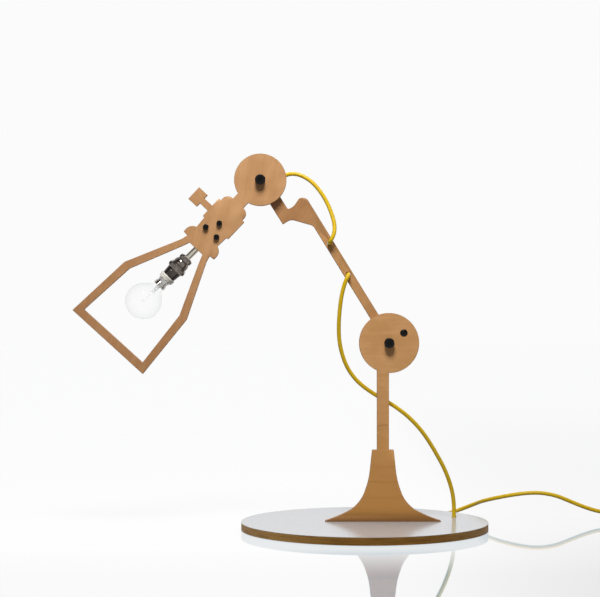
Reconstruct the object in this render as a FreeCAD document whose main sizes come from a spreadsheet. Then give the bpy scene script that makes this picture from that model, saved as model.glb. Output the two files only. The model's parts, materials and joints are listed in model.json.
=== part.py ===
import FreeCAD, Part
import math
import os
import Sketcher

# A flat-plate desk lamp: a round base, a stand, an arm and a head, with a small lampholder and a round bulb.
# Lengths are in millimetres and angles in degrees. +X is to the right and +Y away from the viewer.
# The origin is the centre of the base's underside. The stand and the head lie in the plane Y = 0.

# Driving dimensions

SIZES = (
    ("plate_thick", 9.0, "thickness of the stand, arm and head plates"),
    ("fit_gap", 0.05, "radial clearance of a shaft in its hole"),
    ("cord_dia", 5.0, "diameter of the cord"),
    ("cord_room", 5.8, "hole for the cord through the arm"),
    ("base_dia", 300.0, "base disc"),
    ("base_thick", 9.1, "base board under its laminate"),
    ("laminate_thick", 0.4, "laminate on the base"),
    ("pad_thick", 0.5, "felt under the base"),
    ("pad_inset", 5.0, "felt's edge inside the base's rim"),
    ("base_hole_dia", 7.0, "cord hole in the base"),
    ("base_hole_x", 112.3, "cord hole across"),
    ("base_hole_y", 41.0, "cord hole back"),
    ("exit_angle", 48.7, "direction of the cord's way out of the base's rim"),
    ("groove_wide", 6.0, "cord groove under the base"),
    ("groove_deep", 5.6, "cord groove, from the board's underside"),
    ("stand_x", 22.3, "centre of the stand's foot and post"),
    ("foot_half", 70.3, "half the foot's width"),
    ("toe_tall", 1.0, "upright edge at the foot's tips"),
    ("step_half", 13.1, "half the step's width"),
    ("step_top", 97.0, "height of the step"),
    ("post_half", 7.3, "half the post's width"),
    ("disc_shift", 7.5, "lower disc's centre to the right of the post"),
    ("pivot_height", 226.9, "height of the lower pivot"),
    ("disc_rad", 36.5, "lower disc"),
    ("stop_reach", 21.6, "stop screw's distance from the lower pivot"),
    ("stop_angle", 33.7, "stop screw's direction from the lower pivot"),
    ("stop_head_dia", 8.5, "stop screw's head"),
    ("stop_head_tall", 5.0, "height of the stop screw's head"),
    ("stop_dia", 5.0, "stop screw's shank"),
    ("foot_screw_gap", 30.0, "spacing of the foot screws"),
    ("foot_screw_dia", 4.0, "foot screw's shank"),
    ("foot_screw_long", 24.0, "foot screw's length"),
    ("foot_head_dia", 8.0, "foot screw's countersunk head"),
    ("foot_head_tall", 2.6, "height of that head"),
    ("bolt_dia", 8.0, "pivot bolts"),
    ("bolt_head_dia", 12.4, "head of a pivot bolt"),
    ("bolt_head_tall", 8.0, "height of that head"),
    ("bolt_socket", 6.0, "hexagon socket, across flats"),
    ("bolt_socket_deep", 4.0, "depth of that socket"),
    ("bolt_tail", 1.0, "bolt standing out of its nut"),
    ("spacer_dia", 24.0, "slip washer between two plates"),
    ("spacer_thick", 0.5, "thickness of the slip washer"),
    ("washer_dia", 16.0, "steel washer under a nut"),
    ("washer_thick", 1.6, "thickness of that washer"),
    ("nut_flats", 13.0, "locking nut across flats"),
    ("nut_tall", 8.0, "height of the locking nut"),
    ("nut_collar", 2.4, "round collar at the nut's end"),
    ("arm_angle", 121.67, "direction of the arm's straight bar"),
    ("bar_half", 5.5, "half the bar's width"),
    ("bar_shift", -2.0, "bar's centre line beside the lower pivot"),
    ("arm_reach", 251.1, "upper pivot along the bar"),
    ("arm_offset", 29.1, "upper pivot beside the bar"),
    ("lower_eye_rad", 13.0, "arm's end behind the lower disc"),
    ("upper_eye_rad", 16.0, "arm's end behind the upper disc"),
    ("high_hole_at", 141.4, "upper cord hole along the bar"),
    ("low_hole_at", 96.9, "lower cord hole along the bar"),
    ("head_angle", -133.1, "direction of the head from the upper pivot"),
    ("head_disc_rad", 31.8, "upper disc"),
    ("neck_half", 8.5, "half the neck's width"),
    ("body_half", 21.1, "half the width of the head's body"),
    ("mouth_half", 57.1, "half the width of the shade's mouth"),
    ("mouth_at", 270.0, "shade's mouth, from the upper pivot"),
    ("shoulder_half", 51.0, "half the width at the shade's shoulder"),
    ("shoulder_at", 185.5, "shade's shoulder, from the upper pivot"),
    ("far_side_out", 1.3, "shade's far side, further out than the near side"),
    ("mouth_skew", 1.5, "mouth's far corner, further along than the near corner"),
    ("window_at", 114.5, "top of the opening in the shade"),
    ("window_half", 10.8, "half the opening's width at its top"),
    ("key_wide", 19.3, "key plate along the head"),
    ("key_tall", 14.0, "key plate across the head"),
    ("key_stem", 8.2, "width of the key's stem"),
    ("key_reach", 48.0, "key's outer edge from the head's centre line"),
    ("key_at", 67.0, "key's centre from the upper pivot"),
    ("block_screw_dia", 4.0, "screws of the tube block"),
    ("block_head_dia", 7.0, "heads of those screws"),
    ("block_head_tall", 4.0, "height of those heads"),
    ("block_screw_long", 18.0, "length of those screws"),
    ("block_high_at", 72.7, "upper block screw"),
    ("block_low_at", 87.2, "lower pair of block screws"),
    ("block_low_half", 8.9, "half the lower pair's spacing"),
    ("block_start", 62.0, "tube block's upper edge"),
    ("block_end", 108.0, "tube block's lower edge"),
    ("block_half", 14.5, "half the tube block's width"),
    ("block_thick", 14.0, "thickness of the tube block"),
    ("clip_wide", 8.0, "cord clip along the cord"),
    ("clip_screw_dia", 2.4, "screw of the cord clip"),
    ("clip_screw_long", 6.5, "that screw's hole in the head plate"),
    ("tube_dia", 8.0, "nickel tube"),
    ("tube_bore", 6.0, "bore of the nickel tube"),
    ("tube_start", 86.0, "tube's upper end in the block"),
    ("holder_lean", -2.4, "lampholder's lean from the head's centre line"),
    ("holder_gap", 15.0, "tube showing between the head and the lampholder"),
    ("ring_rad", 12.0, "lampholder's knurled ring"),
    ("ring_tall", 7.6, "length of the ring"),
    ("ring_teeth", 40, "grooves round the ring"),
    ("cap_rad", 7.85, "bulb's metal cap"),
    ("glass_rad", 22.5, "bulb's glass"),
    ("glass_wall", 0.7, "thickness of the glass"),
    ("switch_long", 60.0, "switch on the cord"),
    ("switch_wide", 28.0, "width of the switch"),
    ("switch_tall", 17.0, "height of the switch"),
    ("switch_x", 329.6, "centre line of the switch"),
    ("switch_y", 30.5, "near end of the switch"),
    ("gland_long", 20.0, "strain reliefs of the switch and the plug"),
    ("rocker_pin_dia", 2.0, "pin of the rocker"),
    ("rocker_long", 18.0, "rocker of the switch"),
    ("rocker_wide", 11.0, "width of the rocker"),
    ("rocker_tilt", 10.0, "rocker's tilt when switched on"),
    ("coil_x", 368.5, "centre of the stored coil across"),
    ("coil_y", -95.0, "centre of the stored coil back"),
    ("coil_rad", 38.5, "outer turn of the stored coil"),
    ("coil_pitch", 5.7, "distance from turn to turn"),
    ("plug_long", 36.0, "body of the plug"),
    ("plug_wide", 35.0, "width of the plug"),
    ("plug_tall", 13.7, "thickness of the plug"),
    ("pin_dia", 4.0, "plug's pins"),
    ("pin_long", 19.0, "length of the pins"),
    ("pin_gap", 18.2, "spacing of the pins"),
)

doc = FreeCAD.newDocument("DeskLamp")
sheet = doc.addObject("Spreadsheet::Sheet", "Sizes")
for row, (alias, value, meaning) in enumerate(SIZES, 1):
    sheet.set("A" + str(row), meaning)
    sheet.set("B" + str(row), str(value))
    sheet.setAlias("B" + str(row), alias)
doc.recompute()


def size(name):
    return float(sheet.get(name))


# Places worked out from the driving dimensions

half_plate = size("plate_thick") / 2
board_low = size("pad_thick")
board_top = board_low + size("base_thick")
base_top = board_top + size("laminate_thick")
base_rad = size("base_dia") / 2
lower_x = size("stand_x") + size("disc_shift")
lower_z = size("pivot_height")
arm_front = half_plate + size("spacer_thick")
arm_back = arm_front + size("plate_thick")
arm_middle = (arm_front + arm_back) / 2
tube_y = half_plate + size("block_thick") / 2
cord_rad = size("cord_dia") / 2
AWAY = FreeCAD.Vector(0, 1, 0)
UP = FreeCAD.Vector(0, 0, 1)


def turned_point(origin, angle, along, across, y):
    """A point of a plate's own frame: along its direction, and across to the left of it."""
    turn = math.radians(angle)
    x = origin.x + along * math.cos(turn) - across * math.sin(turn)
    z = origin.z + along * math.sin(turn) + across * math.cos(turn)
    return FreeCAD.Vector(x, y, z)


lower_pivot = FreeCAD.Vector(lower_x, 0, lower_z)
upper_pivot = turned_point(lower_pivot, size("arm_angle"), size("arm_reach"), size("arm_offset"), 0)


def arm_point(along, across, y):
    return turned_point(lower_pivot, size("arm_angle"), along, across, y)


def head_point(along, across, y):
    return turned_point(upper_pivot, size("head_angle"), along, across, y)


def in_plane(origin, angle, y):
    """The placement of a plate drawn in its own frame, with its middle at depth y."""
    place = FreeCAD.Vector(origin.x, y, origin.z)
    return FreeCAD.Placement(place, FreeCAD.Rotation(FreeCAD.Vector(0, -1, 0), angle))


def towards(origin, direction):
    """The placement of a turned piece whose own +Z axis points along a direction."""
    return FreeCAD.Placement(origin, FreeCAD.Rotation(UP, direction))


# Drawing helpers

parts = []


def keep(piece, label, place=None):
    piece.Label = label
    if place is not None:
        piece.Placement = place
    parts.append(piece)
    return piece


def new_body(label):
    return doc.addObject("PartDesign::Body", label + "_body")


def new_sketch(body, role, offset=0.0):
    sketch = body.newObject("Sketcher::SketchObject", "sketch")
    plane = [o for o in body.Origin.OriginFeatures if o.Role == role][0]
    sketch.AttachmentSupport = [(plane, "")]
    sketch.MapMode = "FlatFace"
    sketch.AttachmentOffset = FreeCAD.Placement(FreeCAD.Vector(0, 0, offset), FreeCAD.Rotation())
    return sketch


def draw(sketch, outline):
    """A closed outline: its first point, then line ends, or (middle, end) for each arc."""
    first = sketch.GeometryCount
    here = FreeCAD.Vector(*outline[0])
    edges = []
    for step in outline[1:] + [outline[0]]:
        if isinstance(step[0], tuple):
            middle = FreeCAD.Vector(*step[0])
            there = FreeCAD.Vector(*step[1])
            edges.append(Part.Arc(here, middle, there))
        else:
            there = FreeCAD.Vector(*step)
            if (there - here).Length < 1e-6:
                continue
            edges.append(Part.LineSegment(here, there))
        here = there
    for edge in edges:
        sketch.addGeometry(edge, False)
    return first


def draw_circle(sketch, x, y, diameter):
    """A circle whose diameter is bound to an expression of the sheet."""
    circle = Part.Circle(FreeCAD.Vector(x, y, 0), UP, 1.0)
    number = sketch.addGeometry(circle, False)
    constraint = sketch.addConstraint(Sketcher.Constraint("Diameter", number, 2.0))
    sketch.setExpression("Constraints[" + str(constraint) + "]", diameter)


def add_pad(body, sketch, length, symmetric=False, reverse=False):
    pad = body.newObject("PartDesign::Pad", "pad")
    pad.Profile = sketch
    pad.setExpression("Length", length)
    if symmetric:
        pad.SideType = "Symmetric"
    pad.Reversed = reverse
    return pad


def add_pocket(body, sketch, depth=None, reverse=False, symmetric=False):
    """A pocket of a depth bound to the sheet, or right through."""
    pocket = body.newObject("PartDesign::Pocket", "pocket")
    pocket.Profile = sketch
    if depth is None:
        pocket.Type = "ThroughAll"
        pocket.SideType = "Symmetric"
    else:
        pocket.setExpression("Length", depth)
        pocket.Reversed = reverse
        if symmetric:
            pocket.SideType = "Symmetric"
    return pocket


def flat_plate(label, outline, place, holes=(), window=None):
    """A plate cut from board, with round holes given as (along, across, diameter)."""
    body = new_body(label)
    sketch = new_sketch(body, "XZ_Plane")
    draw(sketch, outline)
    if window:
        draw(sketch, window)
    add_pad(body, sketch, "Sizes.plate_thick", symmetric=True)
    if holes:
        drilled = new_sketch(body, "XZ_Plane")
        for x, y, diameter in holes:
            draw_circle(drilled, x, y, diameter)
        add_pocket(body, drilled)
    return keep(body, label, place)


def turned_piece(label, profile, place):
    """A turned piece: its half outline is drawn as (radius, height) and spun about the height."""
    body = new_body(label)
    sketch = new_sketch(body, "XZ_Plane")
    draw(sketch, profile)
    spin = body.newObject("PartDesign::Revolution", "spin")
    spin.Profile = sketch
    spin.ReferenceAxis = (sketch, ["V_Axis"])
    spin.Angle = 360
    return keep(body, label, place)


def hexagon(flats):
    corner = flats / math.sqrt(3)
    return [
        (corner * math.cos(math.radians(60 * n)), corner * math.sin(math.radians(60 * n))) for n in range(6)
    ]


def ring(label, outer, bore, thick, place):
    """A washer: a round disc with a hole, bound to the sheet."""
    body = new_body(label)
    sketch = new_sketch(body, "XY_Plane")
    draw_circle(sketch, 0, 0, outer)
    draw_circle(sketch, 0, 0, bore)
    add_pad(body, sketch, thick)
    return keep(body, label, place)


def fixed_shape(label, shape):
    piece = doc.addObject("Part::Feature", label + "_shape")
    piece.Shape = shape
    return keep(piece, label)


# Base

def foot_screw_places():
    return [size("stand_x") + n * size("foot_screw_gap") for n in (-1, 0, 1)]


groove_exit = FreeCAD.Vector(
    base_rad * math.cos(math.radians(size("exit_angle"))),
    base_rad * math.sin(math.radians(size("exit_angle"))),
    0,
)
groove_start = FreeCAD.Vector(size("base_hole_x"), size("base_hole_y"), 0)
groove_way = (groove_exit - groove_start).normalize()
groove_side = FreeCAD.Vector(-groove_way.y, groove_way.x, 0)


def groove_outline():
    """A slot round the cord hole and out through the rim."""
    half = groove_side * (size("groove_wide") / 2)
    past = groove_exit + groove_way * size("groove_wide")
    back = groove_start - groove_way * (size("groove_wide") / 2)
    return [
        tuple((groove_start - half)[:2]),
        tuple((past - half)[:2]),
        tuple((past + half)[:2]),
        tuple((groove_start + half)[:2]),
        (tuple(back[:2]), tuple((groove_start - half)[:2])),
    ]


def make_base():
    pad = new_body("base_pad")
    sketch = new_sketch(pad, "XY_Plane")
    draw_circle(sketch, 0, 0, "Sizes.base_dia - 2 * Sizes.pad_inset")
    add_pad(pad, sketch, "Sizes.pad_thick")
    keep(pad, "base_pad")

    board = new_body("base_board")
    sketch = new_sketch(board, "XY_Plane")
    draw_circle(sketch, 0, 0, "Sizes.base_dia")
    add_pad(board, sketch, "Sizes.base_thick")
    drilled = new_sketch(board, "XY_Plane")
    draw_circle(drilled, size("base_hole_x"), size("base_hole_y"), "Sizes.base_hole_dia")
    for x in foot_screw_places():
        draw_circle(drilled, x, 0, "Sizes.foot_screw_dia + 2 * Sizes.fit_gap")
    add_pocket(board, drilled)
    slot = new_sketch(board, "XY_Plane")
    draw(slot, groove_outline())
    add_pocket(board, slot, "Sizes.groove_deep", reverse=True)
    recess = new_sketch(board, "XY_Plane")
    for x in foot_screw_places():
        draw_circle(recess, x, 0, "Sizes.foot_head_dia + 4 * Sizes.fit_gap")
    add_pocket(board, recess, "Sizes.foot_head_tall", reverse=True)
    keep(board, "base_board", FreeCAD.Placement(UP * board_low, FreeCAD.Rotation()))

    laminate = new_body("base_laminate")
    sketch = new_sketch(laminate, "XY_Plane")
    draw_circle(sketch, 0, 0, "Sizes.base_dia")
    draw_circle(sketch, size("base_hole_x"), size("base_hole_y"), "Sizes.base_hole_dia")
    for x in foot_screw_places():
        draw_circle(sketch, x, 0, "Sizes.foot_screw_dia + 2 * Sizes.fit_gap")
    add_pad(laminate, sketch, "Sizes.laminate_thick")
    keep(laminate, "base_laminate", FreeCAD.Placement(UP * board_top, FreeCAD.Rotation()))


# Stand

# the foot's flare, as shares of its spread and of its height, from the toe up to the step
FLARE = (((0.664, 0.093), (0.455, 0.162)), ((0.260, 0.287), (0.145, 0.441)), ((0.080, 0.582), (0.044, 0.730)))


def stand_outline():
    spread = size("foot_half") - size("step_half")
    tall = size("step_top") - base_top

    def flare(share):
        return size("step_half") + spread * share[0], base_top + tall * share[1]

    toe = size("foot_half")
    post = size("post_half")
    disc_x = size("disc_shift")
    right_join = lower_z - math.sqrt(size("disc_rad") ** 2 - (post - disc_x) ** 2)
    left_join = lower_z - math.sqrt(size("disc_rad") ** 2 - (post + disc_x) ** 2)
    right = [(toe, base_top), (toe, base_top + size("toe_tall"))]
    right += [(flare(middle), flare(end)) for middle, end in FLARE]
    right += [(size("step_half"), size("step_top")), (post, size("step_top")), (post, right_join)]
    over_disc = ((disc_x, lower_z + size("disc_rad")), (-post, left_join))
    left = [(-post, size("step_top")), (-size("step_half"), size("step_top"))]
    left.append(mirrored(flare(FLARE[2][1])))
    left.append((mirrored(flare(FLARE[2][0])), mirrored(flare(FLARE[1][1]))))
    left.append((mirrored(flare(FLARE[1][0])), mirrored(flare(FLARE[0][1]))))
    left.append((mirrored(flare(FLARE[0][0])), (-toe, base_top + size("toe_tall"))))
    left.append((-toe, base_top))
    return right + [over_disc] + left


def mirrored(point):
    return -point[0], point[1]


def stop_place():
    turn = math.radians(size("stop_angle"))
    reach = size("stop_reach")
    return size("disc_shift") + reach * math.cos(turn), lower_z + reach * math.sin(turn)


def make_stand():
    stop_x, stop_z = stop_place()
    bolt_hole = "Sizes.bolt_dia + 2 * Sizes.fit_gap"
    holes = [
        (size("disc_shift"), lower_z, bolt_hole),
        (stop_x, stop_z, "Sizes.stop_dia + 2 * Sizes.fit_gap"),
    ]
    place = FreeCAD.Placement(FreeCAD.Vector(size("stand_x"), 0, 0), FreeCAD.Rotation())
    plate = flat_plate("stand_plate", stand_outline(), place, holes)
    recess = new_sketch(plate, "XZ_Plane", half_plate)
    draw_circle(recess, stop_x, stop_z, "Sizes.stop_head_dia + 4 * Sizes.fit_gap")
    add_pocket(plate, recess, "Sizes.stop_head_tall + 2 * Sizes.fit_gap")
    pilots = new_sketch(plate, "XY_Plane", base_top)
    for x in foot_screw_places():
        draw_circle(pilots, x - size("stand_x"), 0, "Sizes.foot_screw_dia + 2 * Sizes.fit_gap")
    deep = "Sizes.foot_screw_long - Sizes.base_thick - Sizes.laminate_thick + 10 * Sizes.fit_gap"
    add_pocket(plate, pilots, deep, reverse=True)


# Screws, washers and nuts

def cap_screw(label, place, head_rad, head_tall, shank_rad, long, socket, deep):
    """A screw with a round head and a hexagon socket. The head's seat is at its own height 0."""
    bevel = head_rad * 0.08
    profile = [
        (0, -head_tall),
        (head_rad - 2 * bevel, -head_tall),
        (head_rad, -head_tall + 1.6 * bevel),
        (head_rad, 0),
        (shank_rad, 0),
        (shank_rad, long - bevel),
        (shank_rad - bevel, long),
        (0, long),
    ]
    screw = turned_piece(label, profile, place)
    hollow = new_sketch(screw, "XY_Plane", -head_tall)
    draw(hollow, hexagon(socket))
    add_pocket(screw, hollow, deep, reverse=True)
    return screw


def copies(label, template, places):
    """Identical pieces in one node: the template is left out and its copies are kept."""
    parts.remove(template)
    doc.recompute()
    solids = []
    for place in places:
        solid = template.Shape.copy()
        solid.Placement = place
        solids.append(solid)
    return fixed_shape(label, Part.makeCompound(solids))


def lock_nut(label, place):
    body = new_body(label)
    sketch = new_sketch(body, "XY_Plane")
    draw(sketch, hexagon(size("nut_flats")))
    draw_circle(sketch, 0, 0, "Sizes.bolt_dia + 2 * Sizes.fit_gap")
    add_pad(body, sketch, "Sizes.nut_tall - Sizes.nut_collar")
    collar = new_sketch(body, "XY_Plane", size("nut_tall") - size("nut_collar"))
    draw_circle(collar, 0, 0, "0.92 * Sizes.nut_flats")
    draw_circle(collar, 0, 0, "Sizes.bolt_dia + 2 * Sizes.fit_gap")
    add_pad(body, collar, "Sizes.nut_collar")
    keep(body, label, place)


def make_pivot(name, pivot):
    """A pivot's bolt from the front plate through the arm, its slip washer, washer and nut."""
    long = arm_back + size("washer_thick") + size("nut_tall") + size("bolt_tail") + half_plate

    def at(y):
        return towards(FreeCAD.Vector(pivot.x, y, pivot.z), AWAY)

    cap_screw(
        name + "_bolt",
        at(-half_plate),
        size("bolt_head_dia") / 2,
        size("bolt_head_tall"),
        size("bolt_dia") / 2,
        long,
        size("bolt_socket"),
        "Sizes.bolt_socket_deep",
    )
    hole = "Sizes.bolt_dia + 2 * Sizes.fit_gap"
    ring(name + "_spacer", "Sizes.spacer_dia", hole, "Sizes.spacer_thick", at(half_plate))
    ring(name + "_washer", "Sizes.washer_dia", hole, "Sizes.washer_thick", at(arm_back))
    lock_nut(name + "_nut", at(arm_back + size("washer_thick")))


def make_screws():
    stop_x, stop_z = stop_place()
    seat = size("stop_head_tall") - half_plate
    stop_at = FreeCAD.Vector(size("stand_x") + stop_x, seat, stop_z)
    cap_screw(
        "stop_screw",
        towards(stop_at, AWAY),
        size("stop_head_dia") / 2,
        size("stop_head_tall"),
        size("stop_dia") / 2,
        arm_back - seat,
        size("stop_dia") * 0.8,
        "Sizes.stop_head_tall / 2",
    )
    head_tall = size("foot_head_tall")
    rad = size("foot_screw_dia") / 2
    long = size("foot_screw_long")
    profile = [
        (0, 0),
        (size("foot_head_dia") / 2, 0),
        (size("foot_head_dia") / 2, head_tall / 2),
        (rad, head_tall),
        (rad, long - rad),
        (0, long),
    ]
    template = turned_piece("foot_screw", profile, FreeCAD.Placement())
    places = [
        FreeCAD.Placement(FreeCAD.Vector(x, 0, board_low), FreeCAD.Rotation()) for x in foot_screw_places()
    ]
    copies("foot_screws", template, places)


# Arm

def arm_outline():
    """The arm lies along its straight bar, steps sideways at the elbow and ends in a wider strap."""
    low, high = size("lower_eye_rad"), size("upper_eye_rad")
    right = size("bar_shift") - size("bar_half")
    left = size("bar_shift") + size("bar_half")
    reach, offset = size("arm_reach"), size("arm_offset")
    strap_right, strap_left = offset - 9.9, offset + 5.6
    right_eye = reach - math.sqrt(high**2 - (offset - strap_right) ** 2)
    left_eye = reach - math.sqrt(high**2 - (strap_left - offset) ** 2)
    return [
        (math.sqrt(low**2 - right**2), right),
        (reach - 53.4, right),
        ((reach - 46.3, right + 2.5), (reach - 43.8, right + 8.3)),
        (reach - 47.2, right + 15.9),
        ((reach - 48.3, right + 21.0), (reach - 47.7, strap_right - 1.0)),
        ((reach - 47.0, strap_right - 0.3), (reach - 46.0, strap_right)),
        (right_eye, strap_right),
        ((reach + high, offset), (left_eye, strap_left)),
        (reach - 60.1, strap_left - 0.6),
        (reach - 60.1, strap_left - 7.6),
        ((reach - 60.9, strap_left - 11.4), (reach - 63.2, strap_left - 14.9)),
        (reach - 77.9, left + 2.8),
        ((reach - 80.3, left + 0.9), (reach - 83.2, left)),
        (math.sqrt(low**2 - left**2), left),
        ((-low, 0), (math.sqrt(low**2 - right**2), right)),
    ]


def make_arm():
    bolt_hole = "Sizes.bolt_dia + 2 * Sizes.fit_gap"
    holes = [
        (0, 0, bolt_hole),
        (size("arm_reach"), size("arm_offset"), bolt_hole),
        (size("high_hole_at"), size("bar_shift"), "Sizes.cord_room"),
        (size("low_hole_at"), size("bar_shift"), "Sizes.cord_room"),
    ]
    place = in_plane(lower_pivot, size("arm_angle"), arm_middle)
    flat_plate("arm_plate", arm_outline(), place, holes)


# Head

def head_outline():
    """The head plate: a disc, a neck, the outline of a lampholder with its key, and a shade's outline."""
    neck, body = size("neck_half"), size("body_half")
    disc = size("head_disc_rad")
    join = math.sqrt(disc**2 - neck**2)
    rim = size("window_at") - 4.7
    side = [
        (join, neck),
        (join + 8.7, neck),
        ((join + 12.2, neck + 7.7), (join + 19.8, body - 3.6)),
        (join + 20.4, body),
        (rim - 30.2, body - 0.2),
        (rim - 29.6, body - 2.8),
        (rim - 15.0, body - 3.7),
        ((rim - 11.2, body + 1.9), (rim - 4.3, body + 4.1)),
        (rim - 0.3, body + 3.8),
        (rim + 0.3, body - 2.6),
        (size("window_at") + 3.9, size("window_half") + 10.0),
        (size("shoulder_at"), size("shoulder_half")),
        (size("mouth_at"), size("mouth_half")),
    ]
    return side + far_side(side) + [((-disc, 0), side[0])]


def on_far_side(point):
    """A point of the near side carried over to the far side, where the shade spreads a little more."""
    along, across = point
    if along > size("mouth_at") - 15.0:
        return along + size("mouth_skew"), -across - size("far_side_out")
    if along > size("shoulder_at") - 5.0:
        return along, -across - size("far_side_out")
    return along, -across


def far_side(side):
    """The other side, walked back to the disc, with the key on the lampholder's body."""
    key_low = size("key_at") - size("key_stem") / 2
    key_high = size("key_at") + size("key_stem") / 2
    plate_low = size("key_at") - size("key_wide") / 2
    plate_high = size("key_at") + size("key_wide") / 2
    inner = size("key_reach") - size("key_tall")
    body = size("body_half")
    key = [
        (key_high, -body),
        (key_high, -inner),
        (plate_high, -inner),
        (plate_high, -size("key_reach")),
        (plate_low, -size("key_reach")),
        (plate_low, -inner),
        (key_low, -inner),
        (key_low, -body),
    ]
    walk = []
    for here, step in zip(reversed(side), [None] + list(reversed(side))):
        end = here[1] if isinstance(here[0], tuple) else here
        if step is not None and isinstance(step[0], tuple):
            walk.append((on_far_side(step[0]), on_far_side(end)))
        else:
            walk.append(on_far_side(end))
        if end == side[4]:
            walk += key
    return walk


def window_outline():
    """The opening inside the shade's outline."""
    top, mouth = size("window_at"), size("mouth_at") - 10.0
    half = [
        (top, size("window_half")),
        (top + 9.4, size("window_half") + 3.5),
        (size("shoulder_at") + 2.0, size("shoulder_half") - 10.0),
        (mouth, size("mouth_half") - 9.8),
    ]
    return half + [on_far_side(point) for point in reversed(half)]


holder_angle = size("head_angle") + size("holder_lean")
holder_root = head_point(size("window_at"), 0, tube_y)
holder_way = FreeCAD.Vector(math.cos(math.radians(holder_angle)), 0, math.sin(math.radians(holder_angle)))


def holder_point(along, across, y):
    return turned_point(holder_root, holder_angle, along, across, y)


def into_holder_frame(along, across):
    """A point of the head plate, as seen from the lampholder's own frame."""
    lean = math.radians(size("holder_lean"))
    ahead = along - size("window_at")
    return (
        ahead * math.cos(lean) + across * math.sin(lean),
        across * math.cos(lean) - ahead * math.sin(lean),
    )


def block_screw_places():
    return [
        (size("block_high_at"), 0.0),
        (size("block_low_at"), size("block_low_half")),
        (size("block_low_at"), -size("block_low_half")),
    ]


clip_at = (-68.5, 3.61, 9.62)
clip_turn = 6.77
clip_screw_side = 7.6


def clip_screw_place():
    """The clip screw's place in the head plate's frame."""
    lean = math.radians(size("holder_lean"))
    turn = math.radians(clip_turn)
    along = clip_at[0] + clip_screw_side * math.sin(turn)
    across = clip_at[1] - clip_screw_side * math.cos(turn)
    return (
        size("window_at") + along * math.cos(lean) - across * math.sin(lean),
        along * math.sin(lean) + across * math.cos(lean),
    )


def make_head():
    holes = [(0, 0, "Sizes.bolt_dia + 2 * Sizes.fit_gap")]
    holes += [(x, y, "Sizes.block_screw_dia + 2 * Sizes.fit_gap") for x, y in block_screw_places()]
    place = in_plane(upper_pivot, size("head_angle"), 0)
    plate = flat_plate("head_plate", head_outline(), place, holes, window_outline())
    pilot = new_sketch(plate, "XZ_Plane", -half_plate)
    x, y = clip_screw_place()
    draw_circle(pilot, x, y, "Sizes.clip_screw_dia + 2 * Sizes.fit_gap")
    add_pocket(plate, pilot, "Sizes.clip_screw_long", reverse=True)


def make_tube_block():
    """The block behind the head that holds the tube, with a channel for the cord past its upper screw."""
    start = size("block_start") - size("window_at")
    end = size("block_end") - size("window_at")
    tube_end = size("tube_start") - size("window_at")
    half = size("block_half")
    bevel = 3.0
    block = new_body("tube_block")
    sketch = new_sketch(block, "XZ_Plane")
    outline = [
        (start + bevel, -half),
        (end - bevel, -half),
        (end, -half + bevel),
        (end, half - bevel),
        (end - bevel, half),
        (start + bevel, half),
        (start, half - bevel),
        (start, -half + bevel),
    ]
    draw(sketch, outline)
    add_pad(block, sketch, "Sizes.block_thick", symmetric=True)
    bore = new_sketch(block, "YZ_Plane", end)
    draw_circle(bore, 0, 0, "Sizes.tube_dia + 2 * Sizes.fit_gap")
    add_pocket(block, bore, "Sizes.block_end - Sizes.tube_start")
    taps = new_sketch(block, "XZ_Plane", size("block_thick") / 2)
    for x, y in block_screw_places():
        at_x, at_y = into_holder_frame(x, y)
        draw_circle(taps, at_x, at_y, "Sizes.block_screw_dia + 2 * Sizes.fit_gap")
    add_pocket(block, taps, "Sizes.block_screw_long - Sizes.plate_thick + 10 * Sizes.fit_gap")
    channel = new_sketch(block, "XZ_Plane", -size("block_thick") / 2)
    past = start - bevel
    draw(
        channel,
        [
            (tube_end, -3.1),
            (tube_end - 3.5, -3.1),
            (tube_end - 14.0, 2.2),
            (past, 3.2),
            (past, 10.2),
            (tube_end - 12.5, 9.2),
            (tube_end - 2.5, 4.2),
            (tube_end, 3.3),
        ],
    )
    add_pocket(block, channel, "Sizes.block_thick / 2 + Sizes.cord_dia / 2 + 8 * Sizes.fit_gap", reverse=True)
    grub = new_sketch(block, "XZ_Plane", -size("block_thick") / 2)
    draw_circle(grub, -15.0, 0, "Sizes.block_screw_dia + 2 * Sizes.fit_gap")
    add_pocket(block, grub, "(Sizes.block_thick - Sizes.tube_dia) / 2", reverse=True)
    keep(block, "tube_block", in_plane(holder_root, holder_angle, tube_y))

    rad = size("block_screw_dia") / 2
    wall = (size("block_thick") - size("tube_dia")) / 2
    profile = [(0, 0), (rad, 0), (rad, wall - 0.3), (rad - 0.3, wall), (0, wall)]
    grub_at = holder_point(-15.0, 0, tube_y + size("block_thick") / 2)
    screw = turned_piece("tube_grub_screw", profile, towards(grub_at, -AWAY))
    hollow = new_sketch(screw, "XY_Plane")
    draw(hollow, hexagon(rad))
    add_pocket(screw, hollow, "(Sizes.block_thick - Sizes.tube_dia) / 4", reverse=True)

    template = cap_screw(
        "block_screw",
        FreeCAD.Placement(),
        size("block_head_dia") / 2,
        size("block_head_tall"),
        rad,
        size("block_screw_long"),
        rad * 1.5,
        "Sizes.block_head_tall / 2",
    )
    places = [towards(head_point(x, y, -half_plate), AWAY) for x, y in block_screw_places()]
    copies("block_screws", template, places)


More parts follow.
